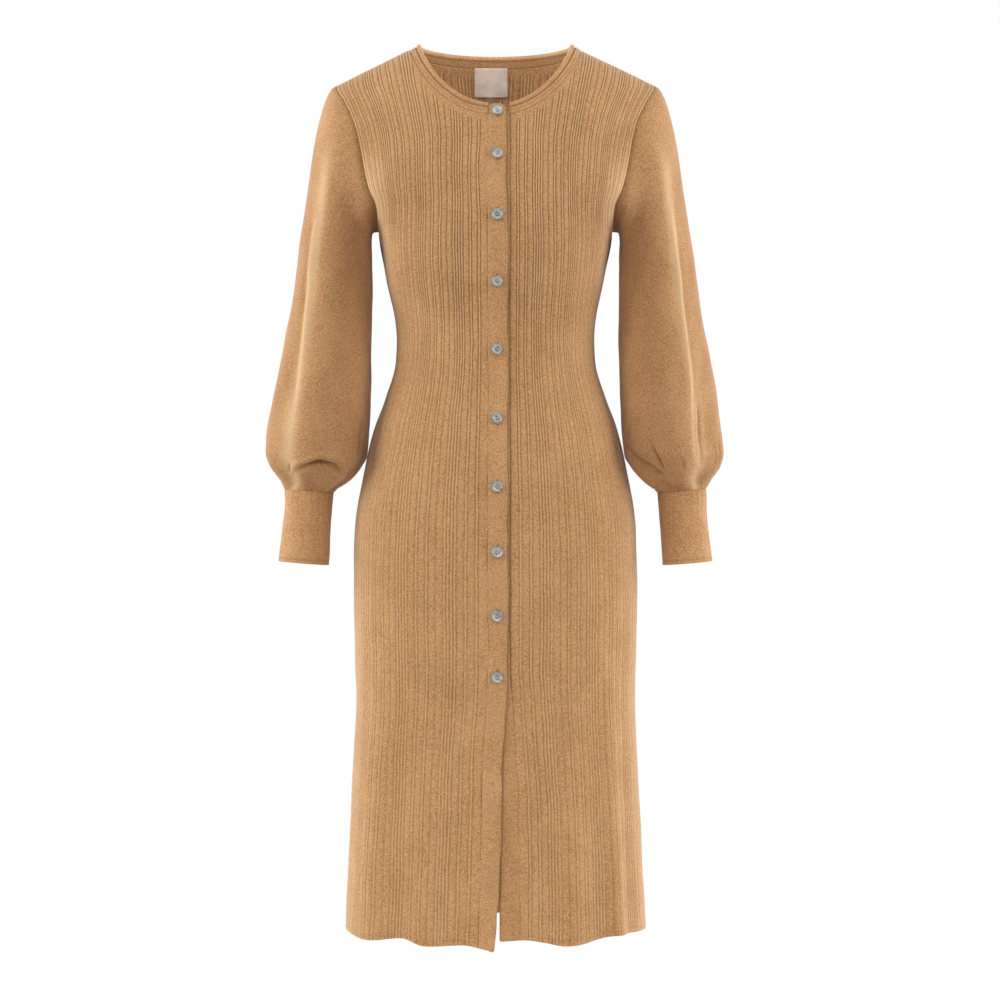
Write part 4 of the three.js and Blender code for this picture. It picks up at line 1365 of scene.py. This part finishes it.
        close = np.exp(-(((end - station) / 7) ** 2))
        gathers = close * np.maximum(0, ripple(np.sin(turn) * 14, np.cos(turn) * 14, 1.0)) * 0.9
        arm = 1.8 * band(152, 30) * np.exp(-((station / 17) ** 2))
        long = ease((station - 15) / 90)
        front = 0.55 * band(102, 30) + 0.34 * band(30, 14) - 0.75 * band(60, 10) + 0.2 * band(172, 16)
        front = front + 0.6 * band(146, 26) * np.exp(-(((end - station - 62) / 38) ** 2))
        behind = 0.3 * band(250, 34) - 0.2 * band(300, 12)
        return gathers + arm + long * (front + behind)

    def _folds(self, turn: Array, z: Array) -> tuple[Array, Array]:
        """Height of the gathers and creases, and the painted shade in the creases."""
        rise, dark = np.zeros(turn.shape), np.zeros(turn.shape)
        for fold in self.gathers:
            along = ease((fold.top - z) / (fold.top - fold.bottom))
            gap = np.mod(turn - fold.turn + 180, 360) - 180
            rise += fold.height * along * np.exp(-((gap / fold.width) ** 2))
        for crease in self.creases:
            height, shade = crease.relief(turn, z, self.radius)
            rise += height
            dark = np.maximum(dark, shade)
        slack = ease((-150 - z) / 150)
        rise += 1.1 * slack * ripple(np.radians(turn) * 3, z * 0.035, self.side)
        return rise, dark

    def make(self, finish: Material, area: float) -> Piece:
        piece = sew(self.cloth(), self.name, "jersey_knit", self.node, finish)
        return piece


@dataclass
class Cuff(Sleeve):
    """A deep plain cuff, slightly flared, with a turned end."""

    around: int = 132
    upper_rows: int = 0
    lower_rows: int = 46
    radius: float = 30.0
    cut: tuple[float, float] = (0.2, 0.1)
    sections: tuple[Section, ...] = CUFF_SECTIONS

    def cloth(self) -> Cloth:
        """Works out the cuff's cloth."""
        end = self._stations()[-1]
        middle = np.linspace(4, end - 3, self.lower_rows)
        rows = np.concatenate([[0.0, 0.8, 2.0], middle, [end - 1.4, end - 0.5, end]])
        turn = np.linspace(0, 2 * np.pi, self.around, endpoint=False)[None, :]
        station, turn = np.broadcast_arrays(rows[:, None], turn)
        points = self._ring(station, turn)
        normals = unit(self._normals(points) * np.array([1.0, 1.0, 0.0]))
        rise = 0.6 * ripple(turn * 2, station * 0.05, self.side)
        rise += 0.5 * np.sin(turn * 23 + 0.6 * np.sin(station * 0.1)) * np.exp(-station / 22)
        free = ease(station / 10)
        points = points + normals * (rise * free)[..., None]
        points, normals = self._on_its_side(points, normals)
        # Painted shade in the stitch groove near the end, and a painted shadow at the top, under the sleeve
        # that hangs over the cuff.
        stitching = 0.5 * np.exp(-(((end - station - 5) / 0.9) ** 2))
        top = 0.45 * np.exp(-((station / 1.5) ** 2))
        uv = self._unrolled(station, turn)
        painted_shading = np.maximum(stitching, top)
        return Cloth(points, normals, -0.3 * stitching, 0 * station, painted_shading, uv, closed=True)

    def make(self, finish: Material, area: float) -> Piece:
        piece = sew(self.cloth(), self.name, "jersey_knit", self.node, finish)
        return piece


# ---------------------------------------------------------------- neckband and button bands


@dataclass
class Neckband:
    """The band round the neck: a rolled edge, a raised ridge and a flat strip to the seam."""

    form: BodyForm
    steps: int = 56
    roll: float = 3.0
    ridge: float = 0.9
    cut: tuple[float, float] = (0.02, 0.64)

    def _outline(self, strip: float) -> Array:
        """Closed outline of a section as (along, out, painted shade), along from the roll to the seam."""
        wall = self.form.wall / 2
        outside = [
            (strip, wall * 0.6, 0.2), (strip - 0.7, wall * 0.95, 0.05), (strip - 2.2, wall, 0.0),
            (9.4, wall, 0.0), (8.5, wall, 0.1), (8.0, wall - 0.2, 0.35), (7.5, wall + 0.1, 0.1),
            (6.6, wall + self.ridge * 0.8, 0.0), (5.7, wall + self.ridge, 0.0),
            (4.8, wall + self.ridge * 0.7, 0.1), (4.0, wall - 0.3, 0.7), (3.5, wall - 0.7, 1.0),
        ]
        # Painted shade where the roll meets the band.
        turns = [(math.radians(a), 0.3 if a < 45 else 0.0) for a in range(32, 330, 18)]
        arc = [(self.roll * math.cos(a), self.roll * math.sin(a), painted_shading) for a, painted_shading in turns]
        inside = [
            (3.4, -wall, 0.5), (4.6, -wall - 0.1, 0.0), (7.0, -wall, 0.0), (9.6, -wall, 0.0),
            (strip - 0.9, -wall, 0.1), (strip, -wall * 0.45, 0.6),
        ]
        return np.array(outside + arc + inside)

    def _quarter(self, face: Face, side: float, start: float) -> tuple[Array, Array, Array]:
        """Roll middles, outward normals and feet of a quarter, from the middle to the shoulder."""
        first = math.asin(start / self.form.seam_half)
        turn = np.linspace(first, np.pi / 2, self.steps + 1)
        lifts = self.form.right_lift if (face is Face.FRONT and side < 0) else (lambda x: 0.0 * x)
        x, z = self.form.neck_seam(face, turn)
        feet, _ = self.form.skin(face, side * x, z, lifts(side * x))
        x, z = self.form.neck_roll(face, turn)
        x = np.where(np.arange(len(x)) == 0, np.maximum(start, x), x)
        tops, normals = self.form.skin(face, side * x, z, lifts(side * x))
        return tops, normals, feet

    def _spine(self) -> tuple[Array, Array, Array]:
        """The whole band from the upper button band round to the lower one."""
        right = -float(self.form.upper_seam(0.0))
        left = float(self.form.lower_seam(0.0))
        quarters = [
            list(self._quarter(Face.FRONT, -1.0, right)),
            [part[::-1][1:] for part in self._quarter(Face.BACK, -1.0, 0.0)],
            [part[1:] for part in self._quarter(Face.BACK, 1.0, 0.0)],
            [part[::-1][1:] for part in self._quarter(Face.FRONT, 1.0, left)],
        ]
        return tuple(np.concatenate([quarter[k] for quarter in quarters]) for k in range(3))

    def make(self, finish: Material) -> Piece:
        tops, normals, feet = self._spine()
        down = feet - tops
        strips = np.linalg.norm(down, axis=1) - 0.15
        down = unit(down)
        out = unit(normals - down * (normals * down).sum(axis=1, keepdims=True))
        sections, grooves = [], []
        for top, along, away, strip in zip(tops, down, out, strips):
            outline = self._outline(float(strip))
            sections.append(top + outline[:, :1] * along + outline[:, 1:2] * away)
            grooves.append(outline[:, 2])
        count = len(sections[0])
        ends = [np.mean(sections[0], axis=0), np.mean(sections[-1], axis=0)]
        vertices = np.concatenate([np.array(sections).reshape(-1, 3), ends])
        quads = tube_quads(len(sections), count)
        lengths = np.linalg.norm(np.diff(tops, axis=0), axis=1)
        along = np.concatenate([[0.0], np.cumsum(lengths)])
        place = np.stack(np.broadcast_arrays(along[:, None], np.arange(count) * 1.1), axis=-1)
        flat = place.reshape(-1, 2)[quads.ravel()]
        # The end caps get painted shade too.
        painted_shading = np.concatenate([np.concatenate(grooves), [0.3, 0.3]])
        piece = mesh_object("neckband_knit", vertices, quads, flat, painted_shading, finish)
        rework(piece, lambda mesh: self._cap(mesh, count, len(sections), len(vertices)))
        settle(piece, "jersey_knit", "neckband")
        return piece

    @staticmethod
    def _cap(mesh: bmesh.types.BMesh, count: int, sections: int, total: int) -> None:
        """Closes the two ends with fans."""
        mesh.verts.ensure_lookup_table()
        for centre, start, turn in ((total - 2, 0, 1), (total - 1, (sections - 1) * count, -1)):
            for j in range(count):
                ring = [mesh.verts[start + j], mesh.verts[start + (j + 1) % count]]
                mesh.faces.new([mesh.verts[centre], *(ring if turn > 0 else ring[::-1])])


@dataclass(frozen=True)
class ButtonRow:
    """Where the buttons sit, from the neck down."""

    x: float = 2.4
    first: float = -97.0
    pitches: tuple[float, ...] = (54.5, 75, 79, 84, 86, 83.5, 80, 78, 75)

    def levels(self) -> Array:
        """Height of each button."""
        return self.first - np.concatenate([[0.0], np.cumsum(self.pitches)])


@dataclass
class ButtonBand:
    """One of the two button bands: a long strip of jersey down the front."""

    name: str
    node: str
    form: BodyForm
    start: Line
    end: Line
    lift: float
    row: ButtonRow
    upper: bool
    corner_drop: float
    columns: int = 15
    top: float = -87.0
    tuck: float = 0.75
    shadow: float = 2.2
    breadth: float = 23.5
    cut: tuple[float, float] = (0.024, 1.035)

    def _heights(self) -> Array:
        """Shares of the band's length for its rows, close together round each buttonhole."""
        base = np.linspace(self.form.hem, self.top, 190)
        near = [level + np.arange(-11, 11.1, 1.1) for level in self.row.levels()] if self.upper else []
        last = self.top - np.array([0.6, 1.5, 3.0, 5.0])
        first = self.form.hem + np.array([0.8, 2.0, 4.0, 6.0, 8.0])
        every = np.unique(np.concatenate([base, *near, last, first]))
        every = every[(every >= self.form.hem) & (every <= self.top)]
        keep = np.concatenate([[True], np.diff(every) > 0.35])
        every = every[keep]
        every[-1] = self.top
        return (every - self.form.hem) / (self.top - self.form.hem)

    def _across(self) -> Array:
        """Shares across the band: close together at its edges and over the buttonholes."""
        middle = (self.row.x - float(self.start(-300.0))) / float(self.end(-300.0) - self.start(-300.0))
        slit = middle + np.array([-2.2, -1.3, -0.65, 0, 0.65, 1.3, 2.2]) / self.breadth if self.upper else []
        even = np.linspace(0, 1, self.columns)
        if self.upper:
            even = even[np.abs(even - middle) > 3.0 / self.breadth]
        edges = np.array([0.03, 0.08, 0.92, 0.97])
        return np.unique(np.concatenate([even, slit, edges]))

    def cloth(self) -> Cloth:
        """Works out the band's cloth."""
        share = self._across()[None, :]
        up = self._heights()[:, None]
        top = self.top - self.corner_drop * np.maximum(0, share - 0.55) ** 2 * 5 - 1.5 * (1 - share) ** 3
        free = share if self.upper else 1 - share
        foot_x = mix(self.start(self.form.hem), self.end(self.form.hem), share)
        foot = self.form.hem_at(Face.FRONT, foot_x) + 1.6 * ease((free - 0.9) / 0.1) ** 2
        z = mix(foot, top, up)
        wave = 1.0 * ripple(z * 0.045, 0 * z, 1.3) if self.upper else 0 * z
        start = self.start(z) - (self.tuck if self.upper else 0)
        end = self.end(z) + (wave if self.upper else self.tuck)
        x = mix(start, end, share)
        crown = 0.5 * (1 - (2 * share - 1) ** 4) + 0.25 * ripple(z * 0.08, x * 0.2, 3.0)
        points, normals = self.form.skin(Face.FRONT, x, z, self.lift + 0 * z)
        outer = crown - 0.35
        # Painted shade along the seam to the panel, with a fainter line beside it.
        seam = 0.6 + 0.25 * ripple(z * 0.09, 0 * z, 0.4)
        inward = 1 - free
        painted_shading = seam * np.exp(-((inward / 0.04) ** 2)) + 0.12 * np.exp(-(((inward - 0.1) / 0.03) ** 2))
        # The lower band gets painted shade all over and a painted shadow beside the upper band's free edge.
        if not self.upper:
            gap = np.maximum(x - self.form.upper_edge(z), 0)
            painted_shading = np.maximum(painted_shading, 0.2 + 0.7 * np.exp(-((gap / self.shadow) ** 2)))
        if self.upper:
            slit, lip = self._holes(x, z)
            outer = outer - 1.1 * slit + 0.35 * lip
            # Painted shade in the buttonhole slits.
            painted_shading = np.maximum(painted_shading, slit)
        uv = np.stack(np.broadcast_arrays(share * self.breadth + 0 * z, z), axis=-1)
        return Cloth(points, normals, outer, -0.2 + 0 * outer, np.clip(painted_shading, 0, 1), uv)

    def _holes(self, x: Array, z: Array) -> tuple[Array, Array]:
        """How deep each place lies in a buttonhole, and how high on its stitched border."""
        slit, lip = 0 * x, 0 * x
        for level in self.row.levels():
            along = np.maximum(np.abs(z - level) - 7.2, 0)
            gap = np.hypot(x - self.row.x, along)
            slit = np.maximum(slit, np.exp(-((gap / 0.75) ** 2)))
            lip = np.maximum(lip, np.exp(-(((gap - 1.7) / 0.7) ** 2)))
        return slit, lip

    def make(self, finish: Material, rests_on: list[str], area: float) -> Piece:
        piece = sew(self.cloth(), self.name, "jersey_knit", self.node, finish)
        return piece


# ---------------------------------------------------------------- buttons


@dataclass
class Button:
    """A shell button with a rim, a sunk face and two upright holes, sewn through with thread."""

    form: BodyForm
    row: ButtonRow
    radius: float = 7.0
    thickness: float = 2.4
    clear: float = 0.8
    rise: float = 2.6
    hole_radius: float = 0.95
    hole_offset: float = 1.75
    shank: float = 1.1
    sink: float = 0.75
    around: int = 56
    tilts: tuple[float, ...] = (7.0, -5.0, 4.0, -8.0, 3.0)

    def _profile(self) -> Array:
        """Radius and height of each ring, from the middle of the face over the rim to the back."""
        face = self.clear + self.thickness
        sunk = face - self.sink
        rings = [(r, sunk) for r in np.linspace(0.25, 4.0, 13)]
        rings += [(4.35, sunk + 0.1), (4.65, sunk + 0.4), (4.95, face - 0.12), (5.3, face - 0.02)]
        rings += [(5.7, face), (6.1, face - 0.04), (6.5, face - 0.2), (6.8, face - 0.5)]
        rings += [(self.radius, face - 1.0), (6.95, face - 1.5), (6.6, self.clear + 0.35), (6.0, self.clear)]
        rings += [(3.5, self.clear), (self.shank + 0.4, self.clear), (self.shank, self.clear - 0.2)]
        rings += [(self.shank, 0.0), (self.shank, 0.3 - self.rise), (0.3, 0.3 - self.rise)]
        return np.array(rings)

    def _mesh(self) -> tuple[Array, Array, Array]:
        """Vertices, quads and painted shade of one button lying flat, with its face up."""
        profile = self._profile()
        turn = np.linspace(0, 2 * np.pi, self.around, endpoint=False)
        x = profile[:, :1] * np.cos(turn)
        y = profile[:, :1] * np.sin(turn)
        z = np.broadcast_to(profile[:, 1:], x.shape).copy()
        # Painted shade in the two holes, on the sunk face and on the underside.
        pit_shade = np.zeros(x.shape)
        on_face = (np.arange(len(profile)) < 16)[:, None]
        for place in (self.hole_offset, -self.hole_offset):
            gap = np.hypot(x, y - place)
            deep = on_face * (1 - ease((gap - self.hole_radius * 0.75) / (self.hole_radius * 0.5)))
            z -= 1.2 * deep
            pit_shade = np.maximum(pit_shade, deep)
        pit_shade = np.maximum(pit_shade, 0.5 * (1 - ease((profile[:, :1] - 2.3) / 0.5)) * on_face)
        pit_shade = np.maximum(pit_shade, 0.35 * (1 - on_face))
        vertices = np.stack([x, y, z], axis=-1).reshape(-1, 3)
        return vertices, tube_quads(len(profile), self.around), pit_shade.ravel()

    def _seat(self, z: float) -> Matrix:
        """Lays a button on the upper band at height z, in millimetres."""
        lift = self.rise + self.form.wall / 2
        at, normal = self.form.skin(Face.FRONT, np.array(self.row.x), np.array(z), lift)
        up = Vector(normal)
        upright = Vector((0, 0, 1)) - up * up.z
        side = upright.normalized().cross(up)
        turn = Matrix((side, upright.normalized(), up)).transposed().to_4x4()
        return Matrix.Translation(Vector(at)) @ turn

    def make(self, finish: Material, thread: Material) -> None:
        """Builds every button with its thread."""
        vertices, quads, pit_shade = self._mesh()
        strands, strand_quads, stitches = [], [], self._thread()
        for index, z in enumerate(self.row.levels()):
            tilt = Matrix.Rotation(math.radians(self.tilts[index % len(self.tilts)]), 4, "Z")
            seat = self._seat(float(z)) @ tilt
            placed = self._placed(seat, vertices)
            piece = mesh_object(f"button_shell_{index + 1:02d}", placed, quads, None, pit_shade, finish)
            rework(piece, lambda mesh: bmesh.ops.holes_fill(mesh, edges=mesh.edges, sides=0))
            settle(piece, "shell_button", f"button_{index + 1:02d}")
            strand_quads.append(stitches[1] + len(strands) * len(stitches[0]))
            strands.append(self._placed(seat, stitches[0]))
        threads = mesh_object("button_threads", np.concatenate(strands), np.concatenate(strand_quads),
                              None, np.zeros(sum(map(len, strands))), thread)
        settle(threads, "jersey_knit")

    @staticmethod
    def _placed(seat: Matrix, vertices: Array) -> Array:
        """Vertices moved to a seat."""
        turn = np.array(seat)
        return vertices @ turn[:3, :3].T + turn[:3, 3]

    def _thread(self) -> tuple[Array, Array]:
        """Two strands of thread that arch from hole to hole."""
        sunk = self.clear + self.thickness - self.sink
        steps, sides = 14, 8
        vertices, quads = [], []
        for offset in (-0.24, 0.24):
            start = sum(map(len, vertices))
            share = np.linspace(-1, 1, steps)
            y = share * self.hole_offset
            z = sunk - 0.9 + 1.25 * (1 - np.abs(share) ** 3)
            turn = np.linspace(0, 2 * np.pi, sides, endpoint=False)
            ring_x = offset + 0.26 * np.cos(turn)[None, :] + 0 * y[:, None]
            ring_z = z[:, None] + 0.26 * np.sin(turn)[None, :]
            ring_y = y[:, None] + 0 * ring_x
            vertices.append(np.stack([ring_x, ring_y, ring_z], axis=-1).reshape(-1, 3))
            i, j = np.meshgrid(np.arange(steps - 1), np.arange(sides), indexing="ij")
            a, b = start + i * sides + j, start + i * sides + (j + 1) % sides
            quads.append(np.stack([a, b, b + sides, a + sides], axis=-1).reshape(-1, 4))
        return np.concatenate(vertices), np.concatenate(quads)


# ---------------------------------------------------------------- label and tab


@dataclass
class NeckTape:
    """A bare woven label or tab inside the back, sewn along its border."""

    name: str
    node: str
    slot: str
    form: BodyForm
    top: float
    width: float
    height: float
    sag: float
    x: float = -6.0
    wall: float = 0.8
    clear: float = 1.8
    divisions: int = 34

    def make(self, finish: Material) -> Piece:
        u = np.linspace(-0.5, 0.5, self.divisions)[None, :]
        v = np.linspace(0, 1, self.divisions)[:, None]
        x = self.x + u * self.width + 0 * v
        z = self.top - v * self.height + 0 * u
        hang = self.sag * ease(v) * (1 - (2 * u) ** 2)
        lift = -(self.form.wall / 2 + self.clear + self.wall / 2) - hang
        points, normals = self.form.skin(Face.BACK, x, z, lift)
        border = np.minimum(np.minimum(0.5 - np.abs(u), 1) * self.width, np.minimum(v, 1 - v) * self.height)
        # The stitching along the border is dented and darkened with painted shade.
        stitch = np.exp(-(((border - 1.6) / 0.5) ** 2)) * (0.5 + 0.5 * np.sin((x + z) * 3.0))
        uv = np.stack([x, z], axis=-1)
        cloth = Cloth(points, normals, 0 * x, -0.25 * stitch, 0.6 * stitch, uv, wall=self.wall)
        piece = sew(cloth, self.name, self.slot, self.node, finish)
        return piece


# ---------------------------------------------------------------- studio


@dataclass
class Studio:
    """A pale floor, soft light from both sides and the camera in front."""

    camera_place: tuple[float, float, float] = (0.0057, -3.18, -0.575)
    lens: float = 90.1
    floor_z: float = -1.3
    floor_radius: float = 1.2
    ambient: float = 0.24

    def _light(self, name: str, place: Vector, aim: Vector, size: tuple[float, float], power: float) -> None:
        """Adds a soft rectangular light that isn't seen itself."""
        lamp = bpy.data.lights.new(name, "AREA")
        lamp.shape = "RECTANGLE"
        lamp.size, lamp.size_y = size
        lamp.energy = power
        holder = bpy.data.objects.new(name, lamp)
        holder.location = place
        holder.rotation_euler = (aim - place).to_track_quat("-Z", "Y").to_euler()
        holder.visible_camera = False
        bpy.context.scene.collection.objects.link(holder)

    def _floor(self) -> None:
        """Adds a round pale floor below the hem."""
        turn = np.linspace(0, 2 * np.pi, 96, endpoint=False)
        ring = np.stack([np.cos(turn), np.sin(turn), 0 * turn], axis=-1) * self.floor_radius
        centre = np.array([0.0, 0.45 - self.floor_radius, self.floor_z])
        mesh = bpy.data.meshes.new("floor")
        mesh.from_pydata([tuple(p) for p in ring + centre], [], [tuple(range(96))])
        shader = Shader("floor_paper")
        place = shader.add("ShaderNodeTexCoord").outputs["Object"]
        grain = shader.noise(place, 30.0, 3.0)
        shader.attach("Base Color", shader.blend(grain, (0.86, 0.86, 0.85), (0.9, 0.9, 0.89)))
        shader.surface.inputs["Roughness"].default_value = 0.9
        mesh.materials.append(shader.material)
        floor = bpy.data.objects.new("floor", mesh)
        bpy.context.scene.collection.objects.link(floor)

    def _world(self) -> None:
        """Makes the surroundings plain white, and softer as a light than as a backdrop."""
        world = bpy.data.worlds.new("studio")
        world.use_nodes = True
        tree = world.node_tree
        seen, cast = tree.nodes["Background"], tree.nodes.new("ShaderNodeBackground")
        seen.inputs["Color"].default_value = (1.0, 1.0, 1.0, 1.0)
        cast.inputs["Color"].default_value = (1.0, 0.99, 0.98, 1.0)
        cast.inputs["Strength"].default_value = self.ambient
        path = tree.nodes.new("ShaderNodeLightPath")
        mixer = tree.nodes.new("ShaderNodeMixShader")
        tree.links.new(path.outputs["Is Camera Ray"], mixer.inputs[0])
        tree.links.new(cast.outputs[0], mixer.inputs[1])
        tree.links.new(seen.outputs[0], mixer.inputs[2])
        tree.links.new(mixer.outputs[0], tree.nodes["World Output"].inputs["Surface"])
        bpy.context.scene.world = world

    def _camera(self) -> None:
        """Places the camera straight in front, level with the hips."""
        camera = bpy.data.cameras.new("camera")
        camera.lens = self.lens
        camera.sensor_width = 36.0
        camera.clip_end = 50.0
        holder = bpy.data.objects.new("camera", camera)
        holder.location = self.camera_place
        holder.rotation_euler = (math.pi / 2, 0.0, 0.0)
        bpy.context.scene.collection.objects.link(holder)
        bpy.context.scene.camera = holder

    def make(self) -> None:
        """Sets up the whole studio."""
        self._camera()
        self._floor()
        self._world()
        middle, chest = Vector((0.0, 0.0, -0.55)), Vector((0.0, 0.0, -0.35))
        self._light("left_softbox", Vector((-2.3, -0.9, 0.25)), chest, (1.3, 2.2), 54.0)
        self._light("right_softbox", Vector((2.3, -0.9, 0.25)), chest, (1.3, 2.2), 51.0)
        self._light("top_softbox", Vector((0.0, -1.6, 2.0)), middle, (2.4, 1.6), 24.0)
        self._light("left_rim", Vector((-1.9, 0.9, 0.0)), middle, (0.8, 2.6), 26.0)
        self._light("right_rim", Vector((1.9, 0.9, 0.0)), middle, (0.8, 2.6), 26.0)
        self._light("neck_fill", Vector((0.0, -0.06, -0.03)), Vector((0.0, 0.1, -0.045)), (0.14, 0.04), 0.115)
        view = bpy.context.scene.view_settings
        view.view_transform = "Standard"
        view.look = "None"


# ---------------------------------------------------------------- the dress


@dataclass
class SweaterDress:
    """The whole dress: three rib panels, two sleeves on cuffs, a neckband, two bands and buttons."""

    form: BodyForm = field(default_factory=BodyForm)
    row: ButtonRow = field(default_factory=ButtonRow)
    lower_band: float = 24.0

    def _flat(self, x: Array) -> Array:
        """No lift anywhere."""
        return 0.0 * x

    def _middle(self, z: Array) -> Array:
        """The middle of the back."""
        return 0.0 * np.asarray(z, dtype=float)

    def _lower_edge(self, z: Array) -> Array:
        """The hidden free edge of the lower band."""
        return self.form.lower_seam(z) - self.lower_band

    def _panels(self, finishes: Finishes, mitre: Callable[[Array], Array]) -> None:
        """Builds the two fronts and the back."""
        form = self.form
        right = RibPanel("front_right_knit", "front_right", form, Face.FRONT, -1.0,
                         lambda z: -form.upper_seam(z), form.right_lift)
        left = RibPanel("front_left_knit", "front_left", form, Face.FRONT, 1.0, form.lower_seam, self._flat)
        back = BackPanel("back_knit", "back_panel", form, Face.BACK, 1.0, self._middle, self._flat,
                         RibPattern(plain=3.8, length=184.0), lower_rows=104, upper_rows=36, cut=(0.5, 1.15))
        right.make(finishes.rib, mitre, 0.22)
        left.make(finishes.rib, mitre, 0.21)
        back.make(finishes.rib, mitre, 0.46)

    def make(self, finishes: Finishes) -> None:
        """Builds every piece of the dress."""
        form = self.form
        left = Sleeve("sleeve_left_knit", "sleeve_left", form, 1.0, LEFT_GATHERS, LEFT_CREASES, slim=6.0)
        right = Sleeve("sleeve_right_knit", "sleeve_right", form, -1.0, RIGHT_GATHERS, RIGHT_CREASES)
        self._panels(finishes, left.mitre)
        for sleeve in (left, right):
            sleeve.make(finishes.jersey, 0.15)
        for name, side in (("cuff_left", 1.0), ("cuff_right", -1.0)):
            Cuff(f"{name}_knit", name, form, side, (), ()).make(finishes.jersey, 0.019)
        Neckband(form).make(finishes.jersey)
        ButtonBand("band_lower_knit", "band_lower", form, self._lower_edge, form.lower_seam, 0.0,
                   self.row, upper=False, corner_drop=1.0).make(finishes.jersey, ["front_left"], 0.0245)
        ButtonBand("band_upper_knit", "band_upper", form, form.upper_seam, form.upper_edge, form.layer_rise,
                   self.row, upper=True, corner_drop=6.0).make(finishes.jersey, ["front_right"], 0.0245)
        Button(form, self.row).make(finishes.shell, finishes.thread)
        label = NeckTape("neck_label_cloth", "neck_label", "label_cloth", form, -14.0, 44.0, 35.5, 0.8)
        tab = NeckTape("size_tab_cloth", "size_tab", "tab_cloth", form, -49.9, 16.0, 11.0, 0.3)
        label.make(finishes.label)
        tab.make(finishes.tab)


def main() -> None:
    """Builds the studio and the dress."""
    logging.basicConfig(level=logging.INFO, format="%(message)s")
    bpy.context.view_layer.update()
    Studio().make()
    SweaterDress().make(Finishes())


if __name__ == "__main__":
    main()
